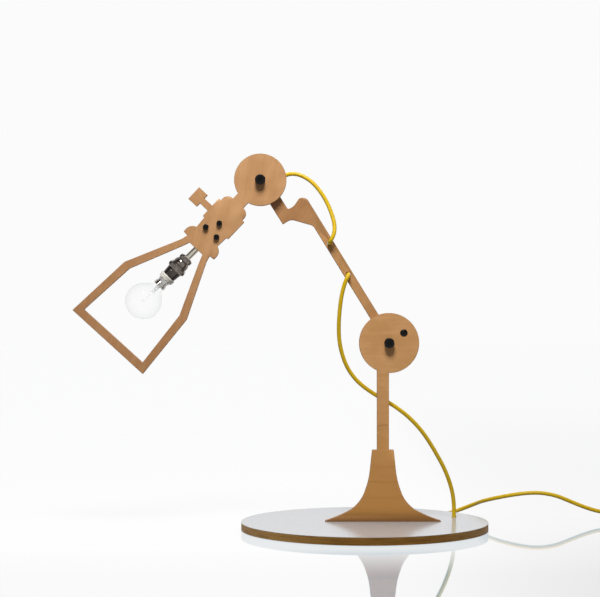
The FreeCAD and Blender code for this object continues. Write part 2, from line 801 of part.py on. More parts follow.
def make_clip():
    """A saddle over the cord on the head's back, with a foot and its screw."""
    along, across, y = clip_at
    deep = y - half_plate
    rad = cord_rad + 2.1
    foot = clip_screw_side + 3.0
    body = new_body("cord_clip")
    sketch = new_sketch(body, "YZ_Plane")
    outline = [
        (-deep, rad),
        (-deep, -foot),
        (-deep + 1.8, -foot),
        (-deep + 1.8, -rad),
        (0, -rad),
        ((rad, 0), (0, rad)),
    ]
    draw(sketch, outline)
    draw_circle(sketch, 0, 0, "Sizes.cord_dia + 0.6")
    add_pad(body, sketch, "Sizes.clip_wide", symmetric=True)
    drilled = new_sketch(body, "XZ_Plane")
    draw_circle(drilled, 0, -clip_screw_side, "Sizes.clip_screw_dia + 2 * Sizes.fit_gap")
    add_pocket(body, drilled)
    place = holder_point(along, across, y)
    turn = holder_angle + clip_turn
    keep(body, "cord_clip", in_plane(place, turn, y))
    rad = size("clip_screw_dia") / 2
    long = size("clip_screw_long") - 0.5 + 1.8
    profile = [(0, -1.6), (rad + 0.8, -1.6), (rad + 1.4, -0.8), (rad + 1.4, 0), (rad, 0), (rad, long - 1)]
    profile.append((0, long))
    x, across_place = clip_screw_place()
    seat = head_point(x, across_place, half_plate + 1.8)
    turned_piece("clip_screw", profile, towards(seat, -AWAY))


# Lampholder and bulb, turned about the holder's own line

def make_holder():
    place = towards(holder_root, holder_way)
    tube = size("tube_dia") / 2
    snug = tube + size("fit_gap")
    top = size("holder_gap")
    tube_profile = [
        (size("tube_bore") / 2, size("tube_start") - size("window_at")),
        (tube, size("tube_start") - size("window_at")),
        (tube, top + 6.0),
        (size("tube_bore") / 2, top + 6.0),
    ]
    turned_piece("stem_tube", tube_profile, place)
    turned_piece("holder_washer", [(snug, top), (6.8, top), (6.8, top + 1.2), (snug, top + 1.2)], place)
    cap = [
        (snug, top + 1.2),
        (7.4, top + 1.2),
        ((8.25, top + 1.55), (8.6, top + 2.4)),
        (8.6, top + 6.0),
        (8.1, top + 6.9),
        ((9.6, top + 9.4), (10.0, top + 13.7)),
        (8.4, top + 13.7),
        (8.4, top + 10.0),
        (snug, top + 8.5),
    ]
    turned_piece("holder_cap", cap, place)
    bore = size("cap_rad") + 0.1
    seat = top + 13.7
    ring_start = seat + 1.0
    ring_end = ring_start + size("ring_tall")
    barrel_end = ring_end + 10.7
    barrel = [
        (bore, seat),
        (9.3, seat),
        (9.3, ring_end),
        (9.6, ring_end + 0.3),
        (9.6, ring_end + 2.5),
        (8.7, barrel_end - 0.4),
        (8.5, barrel_end),
        (bore, barrel_end),
    ]
    turned_piece("holder_barrel", barrel, place)

    knurled = new_body("holder_ring")
    sketch = new_sketch(knurled, "XY_Plane")
    teeth = int(size("ring_teeth"))
    outline = []
    for n in range(2 * teeth):
        rad = size("ring_rad") - 0.45 * (n % 2)
        turn = math.pi * n / teeth
        outline.append((rad * math.cos(turn), rad * math.sin(turn)))
    draw(sketch, outline)
    draw_circle(sketch, 0, 0, "18.7")
    add_pad(knurled, sketch, "Sizes.ring_tall")
    keep(knurled, "holder_ring", towards(holder_root + holder_way * ring_start, holder_way))

    skirt_end = barrel_end + 6.0
    skirt = [
        (bore, barrel_end),
        (9.7, barrel_end),
        (10.15, barrel_end + 0.5),
        (10.15, barrel_end + 2.2),
        (9.6, skirt_end),
        (bore, skirt_end),
    ]
    turned_piece("holder_skirt", skirt, place)
    cap_start = skirt_end - 8.0
    plunger = 5.0
    core_end = cap_start - plunger
    core = [(0, seat), (bore - 0.05, seat), (bore - 0.05, core_end), (0, core_end)]
    turned_piece("holder_core", core, place)
    pin = [(0, 0), (1.2, 0), (1.2, plunger - 0.6), (0.7, plunger), (0, plunger)]
    template = turned_piece("holder_plunger", pin, FreeCAD.Placement())
    turn = FreeCAD.Rotation(UP, holder_way)
    places = []
    for side in (-3.2, 3.2):
        shift = turn.multVec(FreeCAD.Vector(side, 0, 0))
        places.append(FreeCAD.Placement(holder_root + holder_way * core_end + shift, turn))
    copies("holder_contacts", template, places)
    make_bulb(place, cap_start, skirt_end + 10.8)


def make_bulb(place, cap_start, cap_end):
    rad = size("cap_rad")
    wall = size("glass_wall")
    cap = [
        (0, cap_start),
        (5.0, cap_start),
        (7.0, cap_start + 0.5),
        (rad, cap_start + 1.5),
        (rad, cap_end - 1.0),
        (rad + 0.3, cap_end - 0.5),
        (rad + 0.3, cap_end),
        (rad - 0.8, cap_end),
        (rad - 0.8, cap_start + 2.0),
        (0, cap_start + 2.0),
    ]
    turned_piece("bulb_cap", cap, place)
    glass = size("glass_rad")
    middle = cap_end + glass + 3.8
    neck = rad - 0.85
    tilt = math.radians(50)

    def on_ball(radius, angle):
        return radius * math.cos(angle), middle + radius * math.sin(angle)

    outer_low = on_ball(glass, -tilt)
    inner_low = on_ball(glass - wall, -tilt)
    shell = [
        (neck, cap_end - 4.0),
        (neck, cap_end + 0.5),
        ((neck + 2.6, cap_end + 4.2), outer_low),
        (on_ball(glass, 0), on_ball(glass, math.pi / 2)),
        on_ball(glass - wall, math.pi / 2),
        (on_ball(glass - wall, 0), inner_low),
        ((neck + 2.6 - wall * 0.8, cap_end + 4.7), (neck - wall, cap_end + 0.7)),
        (neck - wall, cap_end - 4.0),
    ]
    turned_piece("bulb_glass", shell, place)
    tip = cap_end + 12.0
    mount = [
        (0, cap_end - 4.0),
        (neck - wall - 0.05, cap_end - 4.0),
        (neck - wall - 0.05, cap_end - 3.2),
        ((3.4, cap_end - 1.0), (2.2, cap_end + 3.0)),
        (1.9, tip),
        (0, tip),
    ]
    turned_piece("bulb_mount", mount, place)
    turn = FreeCAD.Rotation(UP, holder_way)

    def inside(x, y, z):
        return holder_root + turn.multVec(FreeCAD.Vector(x, y, z))

    wire = 0.25
    hang = tip + 14.0
    ways = [(-1.1, 0, tip), (-7.0, 0, hang), (-3.5, 2.0, hang + 2.0), (0, -2.0, hang), (3.5, 2.0, hang + 2.0)]
    ways += [(7.0, 0, hang), (1.1, 0, tip)]
    points = [inside(*way) for way in ways]
    solid = None
    for here, there in zip(points, points[1:]):
        span = there - here
        rod = Part.makeCylinder(wire, span.Length, here, span)
        knee = Part.makeSphere(wire, there)
        solid = rod if solid is None else solid.fuse(rod)
        if there is not points[-1]:
            solid = solid.fuse(knee)
    fixed_shape("bulb_filament", solid)


# Cord

def rounded_path(points, label):
    """Straight runs joined by arcs as large as the runs beside them allow."""
    edges = []
    here = points[0]
    least = None
    for before, corner, after in zip(points, points[1:], points[2:]):
        back = before - corner
        ahead = after - corner
        trim = 0.45 * min(back.Length, ahead.Length)
        turn = math.pi - back.getAngle(ahead)
        radius = trim / math.tan(turn / 2)
        least = radius if least is None else min(least, radius)
        start = corner + back.normalize() * trim
        end = corner + ahead.normalize() * trim
        bisector = (back + ahead).normalize()
        middle = corner + bisector * (radius / math.cos(turn / 2) - radius)
        edges.append(Part.LineSegment(here, start).toShape())
        edges.append(Part.Arc(start, middle, end).toShape())
        here = end
    edges.append(Part.LineSegment(here, points[-1]).toShape())
    print(label, "least radius", round(least, 1), "length", round(sum(e.Length for e in edges), 1))
    return Part.Wire(edges)


def tube_along(path, label, tangent):
    start = path.OrderedEdges[0].valueAt(path.OrderedEdges[0].FirstParameter)
    section = Part.Wire([Part.makeCircle(cord_rad, start, tangent)])
    tube = path.makePipeShell([section], True, False)
    if not tube.isValid() or tube.Volume <= 0:
        raise ValueError(label + " is no sound tube")
    print(label, "volume over section times length", round(tube.Volume / (math.pi * cord_rad**2 * path.Length), 4))
    return fixed_shape(label, tube)


def free_cord(label, points):
    places = [p if isinstance(p, FreeCAD.Vector) else FreeCAD.Vector(*p) for p in points]
    return tube_along(rounded_path(places, label), label, places[1] - places[0])


def arc_between(start, knee, end):
    """The arc from start to end whose tangents meet at the knee."""
    chord = (start + end) * 0.5
    rise = knee - chord
    half = (end - start).Length / 2
    bow = half * math.tan(math.atan2(rise.Length, half) / 2)
    return Part.Arc(start, chord + rise.normalize() * bow, end).toShape()


def biarc(start, way_in, end, way_out):
    """Two arcs that leave start along way_in and reach end along way_out."""
    span = end - start
    both = way_in + way_out
    share = 2 * (1 - way_in.dot(way_out))
    lean = span.dot(both)
    reach = (math.sqrt(lean**2 + share * span.dot(span)) - lean) / share
    knee_in = start + way_in * reach
    knee_out = end - way_out * reach
    joint = (knee_in + knee_out) * 0.5
    return [arc_between(start, knee_in, joint), arc_between(joint, knee_out, end)]


COIL_TURNS_IN = 3.0
COIL_CLIMB = 0.5
COIL_TURNS_OUT = 3.0


def coil_point(turns):
    """The stored coil: it spirals in on the floor, climbs one layer and spirals out again."""
    pitch = size("coil_pitch")
    climb = min(max((turns - COIL_TURNS_IN) / COIL_CLIMB, 0.0), 1.0)
    rad = size("coil_rad") - pitch * min(turns, COIL_TURNS_IN)
    rad -= pitch * COIL_CLIMB * climb * (1 - climb)
    rad += pitch * max(turns - COIL_TURNS_IN - COIL_CLIMB, 0.0)
    rise = pitch * climb**2 * (3 - 2 * climb)
    angle = math.pi + 2 * math.pi * turns
    return FreeCAD.Vector(
        size("coil_x") + rad * math.cos(angle),
        size("coil_y") + rad * math.sin(angle),
        cord_rad + rise,
    )


def coil_way(turns):
    step = 1e-4
    return (coil_point(turns + step) - coil_point(turns - step)).normalize()


def make_coil():
    total = COIL_TURNS_IN + COIL_CLIMB + COIL_TURNS_OUT
    quarters = int(round(total * 4))
    edges = []
    for n in range(quarters):
        here, there = n / 4, (n + 1) / 4
        edges += biarc(coil_point(here), coil_way(here), coil_point(there), coil_way(there))
    path = Part.Wire(edges)
    samples = [coil_point(total * n / 1200) for n in range(1201)]
    per_turn = 1200 / total
    gap = min(
        (a - b).Length
        for i, a in enumerate(samples)
        for b in samples[i + int(per_turn / 2):]
    )
    print("cord_coil length", round(path.Length, 1), "least gap to itself", round(gap - size("cord_dia"), 2))
    tube_along(path, "cord_coil", coil_way(0))


FRONT_TURN = -5.2
BACK_TURN = 19.2
HALFWAY = (FRONT_TURN + BACK_TURN) / 2


def make_cords():
    before_clip = holder_point(-61.0, 4.5, 9.9)
    past_clip = holder_point(-77.0, 2.6, 9.3)
    free_cord(
        "cord_head_run",
        [
            holder_point(size("holder_gap") + 13.7, 0.1, tube_y),
            holder_point(15.0, 0.1, tube_y),
            holder_point(-1.0, -0.1, tube_y),
            holder_point(-17.0, 0.0, tube_y),
            holder_point(-32.0, 0.3, tube_y),
            holder_point(-42.0, 5.2, tube_y),
            holder_point(-53.5, 6.3, tube_y),
            before_clip,
            past_clip,
        ],
    )
    high = arm_point(size("high_hole_at"), size("bar_shift"), 0)
    low = arm_point(size("low_hole_at"), size("bar_shift"), 0)

    def beside_pivot(x, z, y):
        return FreeCAD.Vector(upper_pivot.x + x, y, upper_pivot.z + z)

    def through(hole, y):
        return FreeCAD.Vector(hole.x, y, hole.z)

    free_cord(
        "cord_upper_loop",
        [
            past_clip,
            past_clip + (past_clip - before_clip) * 0.5,
            beside_pivot(-4.0, -19.5, 15.4),
            beside_pivot(9.5, -11.5, 19.6),
            beside_pivot(20.0, -1.0, 19.8),
            beside_pivot(29.0, 6.6, 19.4),
            beside_pivot(38.8, 9.2, 18.6),
            beside_pivot(50.2, 6.8, 17.0),
            beside_pivot(62.2, -0.6, 14.6),
            beside_pivot(71.4, -10.8, 11.8),
            beside_pivot(80.0, -24.0, 8.6),
            beside_pivot(86.8, -40.0, 4.8),
            beside_pivot(90.6, -54.0, 0.6),
            beside_pivot(90.0, -66.0, -3.4),
            through(high, FRONT_TURN),
            through(high, HALFWAY),
        ],
    )
    span = low - high
    side = FreeCAD.Vector(span.z, 0, -span.x).normalize()
    free_cord(
        "cord_arm_run",
        [
            through(high, HALFWAY),
            through(high, BACK_TURN),
            through(high + span * 0.28 + side * 0.8, BACK_TURN + 0.4),
            through(high + span * 0.72 + side * 0.5, BACK_TURN + 0.3),
            through(low, BACK_TURN),
            through(low, HALFWAY),
        ],
    )
    free_cord(
        "cord_lower_loop",
        [
            through(low, HALFWAY),
            through(low, FRONT_TURN),
            (-24.4, -5.4, 299.4),
            (-28.3, -4.4, 283.5),
            (-30.4, -2.4, 266.0),
            (-31.5, 0.2, 247.5),
            (-30.8, 3.0, 229.5),
            (-27.0, 5.8, 212.0),
            (-20.8, 8.6, 196.2),
            (-10.9, 11.2, 182.2),
            (1.0, 13.2, 171.6),
            (12.4, 14.2, 164.0),
            (23.7, 14.4, 157.3),
        ],
    )
    over_hole = FreeCAD.Vector(size("base_hole_x"), size("base_hole_y"), base_top + 4.8)
    free_cord(
        "cord_drop",
        [
            (23.7, 14.4, 157.3),
            (38.96, 14.67, 148.26),
            (55.8, 17.2, 135.2),
            (72.7, 20.6, 116.9),
            (87.1, 26.0, 94.2),
            (101.0, 32.0, 69.3),
            (109.7, 37.2, 44.5),
            over_hole + UP * 12.5,
            over_hole,
        ],
    )
    floor = board_low + cord_rad + 0.1

    def in_groove(along, aside):
        place = groove_start + groove_way * along + groove_side * aside
        return FreeCAD.Vector(place.x, place.y, floor)

    out = (groove_exit - groove_start).Length
    free_cord(
        "cord_base_run",
        [
            over_hole,
            in_groove(0.0, 0.0),
            in_groove(15.0, 0.2),
            in_groove(38.0, -0.15),
            in_groove(out - 23.0, 0.0),
            in_groove(out - 9.0, 0.0),
        ],
    )
    free_cord(
        "cord_arch",
        [
            in_groove(out - 9.0, 0.0),
            in_groove(out + 8.0, 0.0),
            (103.8, 135.6, 2.9),
            (117.9, 145.2, 3.2),
            (134.9, 145.3, 9.5),
            (149.0, 136.0, 16.4),
            (155.6, 120.5, 21.2),
            (169.3, 107.8, 26.1),
            (187.5, 100.6, 30.5),
            (206.5, 95.9, 33.9),
            (226.0, 92.6, 34.9),
            (246.0, 91.0, 31.5),
            (264.0, 90.0, 24.0),
            (283.0, 88.6, 16.3),
            (301.0, 87.2, 11.2),
            (315.3, 83.2, 10.4),
            (324.8, 75.2, 9.2),
            (size("switch_x"), size("switch_y") + size("gland_long") + 13.2, switch_axis),
            (size("switch_x"), size("switch_y") + size("gland_long"), switch_axis),
        ],
    )
    coil_in = coil_point(0)
    coil_out = coil_point(COIL_TURNS_IN + COIL_CLIMB + COIL_TURNS_OUT)
    free_cord(
        "cord_after_switch",
        [
            (size("switch_x"), size("switch_y") - size("switch_long") - size("gland_long"), switch_axis),
            (size("switch_x"), size("switch_y") - size("switch_long") - size("gland_long") - 9.0, switch_axis),
            (size("switch_x") + 0.6, -68.5, 5.2),
            (size("switch_x") + 0.8, -78.0, 2.6),
            coil_in - coil_way(0) * 9.0,
            coil_in,
        ],
    )
    free_cord(
        "cord_plug_lead",
        [
            coil_out,
            coil_out + coil_way(COIL_TURNS_IN + COIL_CLIMB + COIL_TURNS_OUT) * 12.0,
            (coil_out.x, plug_back - 12.0, plug_axis),
            (coil_out.x, plug_back, plug_axis),
        ],
    )


# Switch on the cord

switch_axis = size("switch_tall") / 2
plug_axis = size("plug_tall") / 2
plug_back = -58.0


def switch_outline():
    half, long = size("switch_wide") / 2, size("switch_long")
    bevel = 5.0
    return [
        (-half + bevel, 0),
        (half - bevel, 0),
        (half, -bevel),
        (half, bevel - long),
        (half - bevel, -long),
        (bevel - half, -long),
        (-half, bevel - long),
        (-half, -bevel),
    ]


def make_switch():
    half_tall = switch_axis
    wall = 2.5
    half, long = size("switch_wide") / 2, size("switch_long")
    hollow = [(wall - half, -7.0), (half - wall, -7.0), (half - wall, 7.0 - long), (wall - half, 7.0 - long)]
    origin = FreeCAD.Vector(size("switch_x"), size("switch_y"), 0)
    for label, low in (("switch_lower_shell", 0.0), ("switch_upper_shell", half_tall)):
        shell = new_body(label)
        sketch = new_sketch(shell, "XY_Plane")
        draw(sketch, switch_outline())
        add_pad(shell, sketch, "Sizes.switch_tall / 2")
        lower = low == 0.0
        cavity = new_sketch(shell, "XY_Plane", half_tall if lower else 0.0)
        draw(cavity, hollow)
        add_pocket(shell, cavity, "Sizes.switch_tall / 2 - 2.5", reverse=not lower)
        if not lower:
            window = new_sketch(shell, "XY_Plane")
            room = size("rocker_long") / 2 + 1.2
            side = size("rocker_wide") / 2 + 0.3
            draw(
                window,
                [
                    (-side, -long / 2 - room),
                    (side, -long / 2 - room),
                    (side, -long / 2 + room),
                    (-side, -long / 2 + room),
                ],
            )
            add_pocket(shell, window)
            sockets = new_sketch(shell, "YZ_Plane")
            draw_circle(sockets, -long / 2, rocker_height() - low, "Sizes.rocker_pin_dia + 2 * Sizes.fit_gap")
            add_pocket(shell, sockets, "Sizes.switch_wide - 2.6", symmetric=True)
        keep(shell, label, FreeCAD.Placement(origin + UP * low, FreeCAD.Rotation()))

    pivot = FreeCAD.Vector(size("switch_x"), size("switch_y") - long / 2, rocker_height())
    rocker = new_body("switch_rocker")
    sketch = new_sketch(rocker, "YZ_Plane")
    reach = size("rocker_long") / 2
    top = size("switch_tall") - rocker_height()
    draw(
        sketch,
        [
            (-reach * 0.6, -3.0),
            (reach * 0.6, -3.0),
            (reach, top - 1.5),
            (reach, top + 1.0),
            ((0, top - 0.2), (-reach, top + 1.0)),
            (-reach, top - 1.5),
        ],
    )
    draw_circle(sketch, 0, 0, "Sizes.rocker_pin_dia + 2 * Sizes.fit_gap")
    add_pad(rocker, sketch, "Sizes.rocker_wide", symmetric=True)
    tilt = FreeCAD.Rotation(FreeCAD.Vector(1, 0, 0), size("rocker_tilt"))
    keep(rocker, "switch_rocker", FreeCAD.Placement(pivot, tilt))

    rad = size("rocker_pin_dia") / 2
    reach = half - 1.4
    profile = [(0, -reach), (rad, -reach), (rad, reach), (0, reach)]
    turned_piece("switch_pin", profile, towards(pivot, FreeCAD.Vector(1, 0, 0)))

    blocks = []
    for away in (13.0, long - 13.0):
        block = Part.makeBox(10, 8, 4, FreeCAD.Vector(-5, -4, 0))
        hole = Part.makeCylinder(1.4, 8, FreeCAD.Vector(0, -4, 2), FreeCAD.Vector(0, 1, 0))
        block = block.cut(hole)
        block.translate(origin + FreeCAD.Vector(0, -away, 2.5))
        blocks.append(block)
    fixed_shape("switch_terminals", Part.makeCompound(blocks))

    sleeves = []
    for start, way in ((origin, AWAY), (origin - AWAY * long, -AWAY)):
        seat = start + UP * switch_axis
        sleeves.append(Part.makeCone(4.6, cord_rad + 0.8, size("gland_long"), seat, way))
    fixed_shape("switch_sleeves", Part.makeCompound(sleeves))


def rocker_height():
    return size("switch_tall") - 5.0


# Plug

def make_plug():
    """A flat two-pin plug with its strain relief, moulded in one piece."""
    half, long = size("plug_wide") / 2, size("plug_long")
    rear = size("gland_long")
    body = new_body("plug_body")
    sketch = new_sketch(body, "XY_Plane")
    outline = [
        (-6.0, 0),
        (6.0, 0),
        ((half - 5.0, 4.5), (half, 16.0)),
        (half - 1.0, long - 2.0),
        (half - 3.0, long),
        (3.0 - half, long),
        (1.0 - half, long - 2.0),
        (-half, 16.0),
        ((5.0 - half, 4.5), (-6.0, 0)),
    ]
    draw(sketch, outline)
    add_pad(body, sketch, "Sizes.plug_tall", symmetric=True)
    body_at = FreeCAD.Vector(coil_point(0).x + 2 * size("coil_rad"), plug_back + rear, plug_axis)
    keep(body, "plug_body", FreeCAD.Placement(body_at, FreeCAD.Rotation()))
    relief = Part.makeCone(cord_rad + 0.8, 5.0, rear, body_at - AWAY * rear, AWAY)
    fixed_shape("plug_relief", relief)
    rad = size("pin_dia") / 2
    pins = []
    for side in (-1, 1):
        seat = body_at + AWAY * long + FreeCAD.Vector(side * size("pin_gap") / 2, 0, 0)
        pin = Part.makeCylinder(rad, size("pin_long") - rad, seat, AWAY)
        tip = Part.makeSphere(rad, seat + AWAY * (size("pin_long") - rad))
        pins.append(pin.fuse(tip).removeSplitter())
    fixed_shape("plug_pins", Part.makeCompound(pins))


# Build

make_base()
make_stand()
make_pivot("lower", lower_pivot)
make_screws()
make_arm()
make_pivot("upper", upper_pivot)
make_head()
make_tube_block()
make_clip()
make_holder()
make_cords()
make_coil()
make_switch()
make_plug()
doc.recompute()

for thing in doc.Objects:
    if "Invalid" in thing.State or "Error" in thing.State:
        raise ValueError(thing.Label + " has failed")

os.makedirs("parts", exist_ok=True)
for piece in parts:
    if piece.Shape.isNull() or not piece.Shape.isValid() or not piece.Shape.Solids:
        raise ValueError(piece.Label + " has no sound shape")
    piece.Shape.exportStep("parts/" + piece.Label + ".step")
print(len(parts), "pieces")
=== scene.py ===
import json
import math

import bmesh
import bpy
from mathutils import Matrix, Vector

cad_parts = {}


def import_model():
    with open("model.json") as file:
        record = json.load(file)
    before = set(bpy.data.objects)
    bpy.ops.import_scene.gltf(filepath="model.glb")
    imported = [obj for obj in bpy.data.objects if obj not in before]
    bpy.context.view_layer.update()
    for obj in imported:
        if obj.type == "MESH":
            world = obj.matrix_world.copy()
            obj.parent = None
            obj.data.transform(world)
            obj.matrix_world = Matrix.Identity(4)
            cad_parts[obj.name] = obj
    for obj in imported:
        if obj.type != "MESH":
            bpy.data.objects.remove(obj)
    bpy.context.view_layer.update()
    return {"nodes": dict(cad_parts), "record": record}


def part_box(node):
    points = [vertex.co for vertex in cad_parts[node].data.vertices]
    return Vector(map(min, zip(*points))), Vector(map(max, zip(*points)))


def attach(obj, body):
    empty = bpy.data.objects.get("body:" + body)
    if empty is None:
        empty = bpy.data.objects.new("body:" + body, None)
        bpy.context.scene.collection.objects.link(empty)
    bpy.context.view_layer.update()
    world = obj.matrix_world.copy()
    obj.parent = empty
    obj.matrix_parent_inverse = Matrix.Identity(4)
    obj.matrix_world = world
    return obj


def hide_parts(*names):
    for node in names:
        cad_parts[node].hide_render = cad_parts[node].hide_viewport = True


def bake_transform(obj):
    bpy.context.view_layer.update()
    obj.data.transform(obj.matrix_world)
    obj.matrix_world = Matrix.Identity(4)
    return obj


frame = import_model()
nodes = frame["nodes"]
scene = bpy.context.scene
scene.view_settings.view_transform = "Standard"

# Camera: level, at the photograph's distance and height

SENSOR_WIDTH = 36.0
LENS = 108.72
VIEWPOINT = (-0.0785, -2.205, 0.281)
FARTHEST_SEEN = 50.0

camera_data = bpy.data.cameras.new("camera")
camera_data.sensor_width = SENSOR_WIDTH
camera_data.lens = LENS
camera_data.clip_end = FARTHEST_SEEN
camera = bpy.data.objects.new("camera", camera_data)
camera.location = VIEWPOINT
camera.rotation_euler = (math.radians(90), 0, 0)
scene.collection.objects.link(camera)
scene.camera = camera

# Places shared with the CAD source: single lengths in millimetres, points in metres

MM = 0.001
ARM_ANGLE = math.radians(121.67)
ARM_REACH, ARM_OFFSET = 251.1, 29.1
HEAD_ANGLE = math.radians(-133.1)
WINDOW_AT = 114.5
HOLDER_ANGLE = math.radians(-135.5)
HOLDER_BACK = 11.5
HIGH_HOLE_AT, LOW_HOLE_AT, BAR_SHIFT = 141.4, 96.9, -2.0
LOWER_PIVOT = Vector((0.0298, 0, 0.2269))


def turned(origin, angle, along, across, y):
    """A point of a plate's own frame. Along, across and y are in millimetres."""
    x = origin.x + (along * math.cos(angle) - across * math.sin(angle)) * MM
    z = origin.z + (along * math.sin(angle) + across * math.cos(angle)) * MM
    return Vector((x, y * MM, z))


UPPER_PIVOT = turned(LOWER_PIVOT, ARM_ANGLE, ARM_REACH, ARM_OFFSET, 0)
HOLDER_ROOT = turned(UPPER_PIVOT, HEAD_ANGLE, WINDOW_AT, 0, HOLDER_BACK)
HOLDER_WAY = Vector((math.cos(HOLDER_ANGLE), 0, math.sin(HOLDER_ANGLE)))
HIGH_HOLE = turned(LOWER_PIVOT, ARM_ANGLE, HIGH_HOLE_AT, BAR_SHIFT, 0)
LOW_HOLE = turned(LOWER_PIVOT, ARM_ANGLE, LOW_HOLE_AT, BAR_SHIFT, 0)


def on_holder(along, across, y):
    """A point beside the lampholder's own line, in millimetres."""
    return turned(HOLDER_ROOT, HOLDER_ANGLE, along, across, y)


def beside_pivot(x, z, y):
    """A point beside the upper pivot, in millimetres."""
    return UPPER_PIVOT + Vector((x, y, z)) * MM


def world(x, y, z):
    """A point of the shared frame, in millimetres."""
    return Vector((x, y, z)) * MM


def through(hole, y):
    """A point on a cord hole's line, y in millimetres."""
    return Vector((hole.x, y * MM, hole.z))


# Meshes

def new_object(name, data):
    piece = bpy.data.objects.new(name, data)
    scene.collection.objects.link(piece)
    return piece


ROUTE_STEPS = 8
SHORTEST_STEP = 0.0002


def centreline(points):
    """The points of the smooth line through a route's control points."""
    curve = bpy.data.curves.new("route", "CURVE")
    curve.dimensions = "3D"
    curve.resolution_u = ROUTE_STEPS
    spline = curve.splines.new("NURBS")
    spline.points.add(len(points) - 1)
    for control, point in zip(spline.points, points):
        control.co = (*point, 1.0)
    spline.order_u = 3
    spline.use_endpoint_u = True
    holder = new_object("route", curve)
    mesh = bpy.data.meshes.new_from_object(holder)
    line = [v.co.copy() for v in mesh.vertices]
    bpy.data.objects.remove(holder)
    bpy.data.curves.remove(curve)
    bpy.data.meshes.remove(mesh)
    slim = [line[0]]
    for point in line[1:]:
        if (point - slim[-1]).length > SHORTEST_STEP:
            slim.append(point)
    return slim


def rings_along(bm, line, radius, sides):
    """Rings of points round a line, without twist from one to the next."""
    tangent = (line[1] - line[0]).normalized()
    across = tangent.orthogonal().normalized()
    rings = []
    for n, point in enumerate(line):
        ahead = line[min(n + 1, len(line) - 1)] - line[max(n - 1, 0)]
        turn = tangent.rotation_difference(ahead.normalized())
        tangent = ahead.normalized()
        across = (turn @ across).normalized()
        across = (across - tangent * across.dot(tangent)).normalized()
        up = tangent.cross(across)
        ring = []
        for k in range(sides):
            angle = 2 * math.pi * k / sides
            out = across * math.cos(angle) + up * math.sin(angle)
            ring.append(bm.verts.new(point + out * radius))
        rings.append(ring)
    return rings


def tube(name, line, radius, material, sides=32):
    """A round tube along a line, with lengthwise metres and turns as its UV map."""
    bm = bmesh.new()
    uv = bm.loops.layers.uv.new("along")
    rings = rings_along(bm, line, radius, sides)
    run = [0.0]
    for here, there in zip(line, line[1:]):
        run.append(run[-1] + (there - here).length)
    for n in range(len(rings) - 1):
        for k in range(sides):
            after = (k + 1) % sides
            face = bm.faces.new((rings[n][k], rings[n][after], rings[n + 1][after], rings[n + 1][k]))
            face.smooth = True
            low, high = k / sides, (k + 1) / sides
            marks = ((run[n], low), (run[n], high), (run[n + 1], high), (run[n + 1], low))
            for loop, mark in zip(face.loops, marks):
                loop[uv].uv = mark
    bm.faces.new(list(reversed(rings[0])))
    bm.faces.new(rings[-1])
    bmesh.ops.recalc_face_normals(bm, faces=bm.faces)
    mesh = bpy.data.meshes.new(name)
    bm.to_mesh(mesh)
    bm.free()
    mesh.materials.append(material)
    return new_object(name, mesh)


# Shader nodes

class Nodes:
    """A node tree, with short calls for the nodes that it needs."""

    def __init__(self, tree):
        self.tree = tree
        self.tree.nodes.clear()

    def node(self, kind, inputs=None, **settings):
        made = self.tree.nodes.new("ShaderNode" + kind)
        for key, value in settings.items():
            setattr(made, key, value)
        for key, value in (inputs or {}).items():
            self.feed(made.inputs[key], value)
        return made

    def feed(self, socket, value):
        if isinstance(value, bpy.types.NodeSocket):
            self.tree.links.new(value, socket)
        else:
            socket.default_value = value

    def place(self, output="Object"):
        return self.node("TexCoord").outputs[output]

    def split(self, vector):
        return self.node("SeparateXYZ", {0: vector}).outputs

    def stretch(self, vector, scale, rotation=(0, 0, 0)):
        inputs = {"Vector": vector, "Scale": scale, "Rotation": rotation}
        return self.node("Mapping", inputs).outputs[0]

    def noise(self, vector, scale=1.0, detail=3.0, rough=0.5, distortion=0.0):
        inputs = {"Vector": vector, "Scale": scale, "Detail": detail, "Roughness": rough}
        inputs["Distortion"] = distortion
        return self.node("TexNoise", inputs).outputs["Fac"]

    def math(self, operation, a, b=0.5, clamp=False):
        made = self.node("Math", operation=operation, use_clamp=clamp)
        for socket, value in zip(made.inputs, (a, b)):
            self.feed(socket, value)
        return made.outputs[0]

    def fit(self, value, low, high, to_low=0.0, to_high=1.0, smooth=True):
        """A value's place between two limits, as a share between two others."""
        inputs = {"Value": value, "From Min": low, "From Max": high, "To Min": to_low, "To Max": to_high}
        kind = "SMOOTHSTEP" if smooth else "LINEAR"
        return self.node("MapRange", inputs, interpolation_type=kind).outputs["Result"]

    def mix(self, factor, a, b, blend="MIX"):
        made = self.node("Mix", data_type="RGBA", blend_type=blend)
        self.feed(made.inputs[0], factor)
        self.feed(made.inputs[6], a if isinstance(a, bpy.types.NodeSocket) else (*a, 1.0))
        self.feed(made.inputs[7], b if isinstance(b, bpy.types.NodeSocket) else (*b, 1.0))
        return made.outputs[2]


class Paint(Nodes):
    """A material's node tree, with its output and its main shader."""

    def __init__(self, name):
        self.material = bpy.data.materials.new(name)
        self.material.use_nodes = True
        super().__init__(self.material.node_tree)
        self.output = self.node("OutputMaterial")
        self.shader = self.node("BsdfPrincipled")
        self.tree.links.new(self.shader.outputs[0], self.output.inputs["Surface"])

    def set(self, **values):
        """Values of the shader's own sockets, by name with underscores for spaces."""
        for key, value in values.items():
            self.feed(self.shader.inputs[key.replace("_", " ")], value)

    def bump(self, height, strength, distance):
        inputs = {"Height": height, "Strength": strength, "Distance": distance}
        self.set(Normal=self.node("Bump", inputs).outputs[0])


# Wood

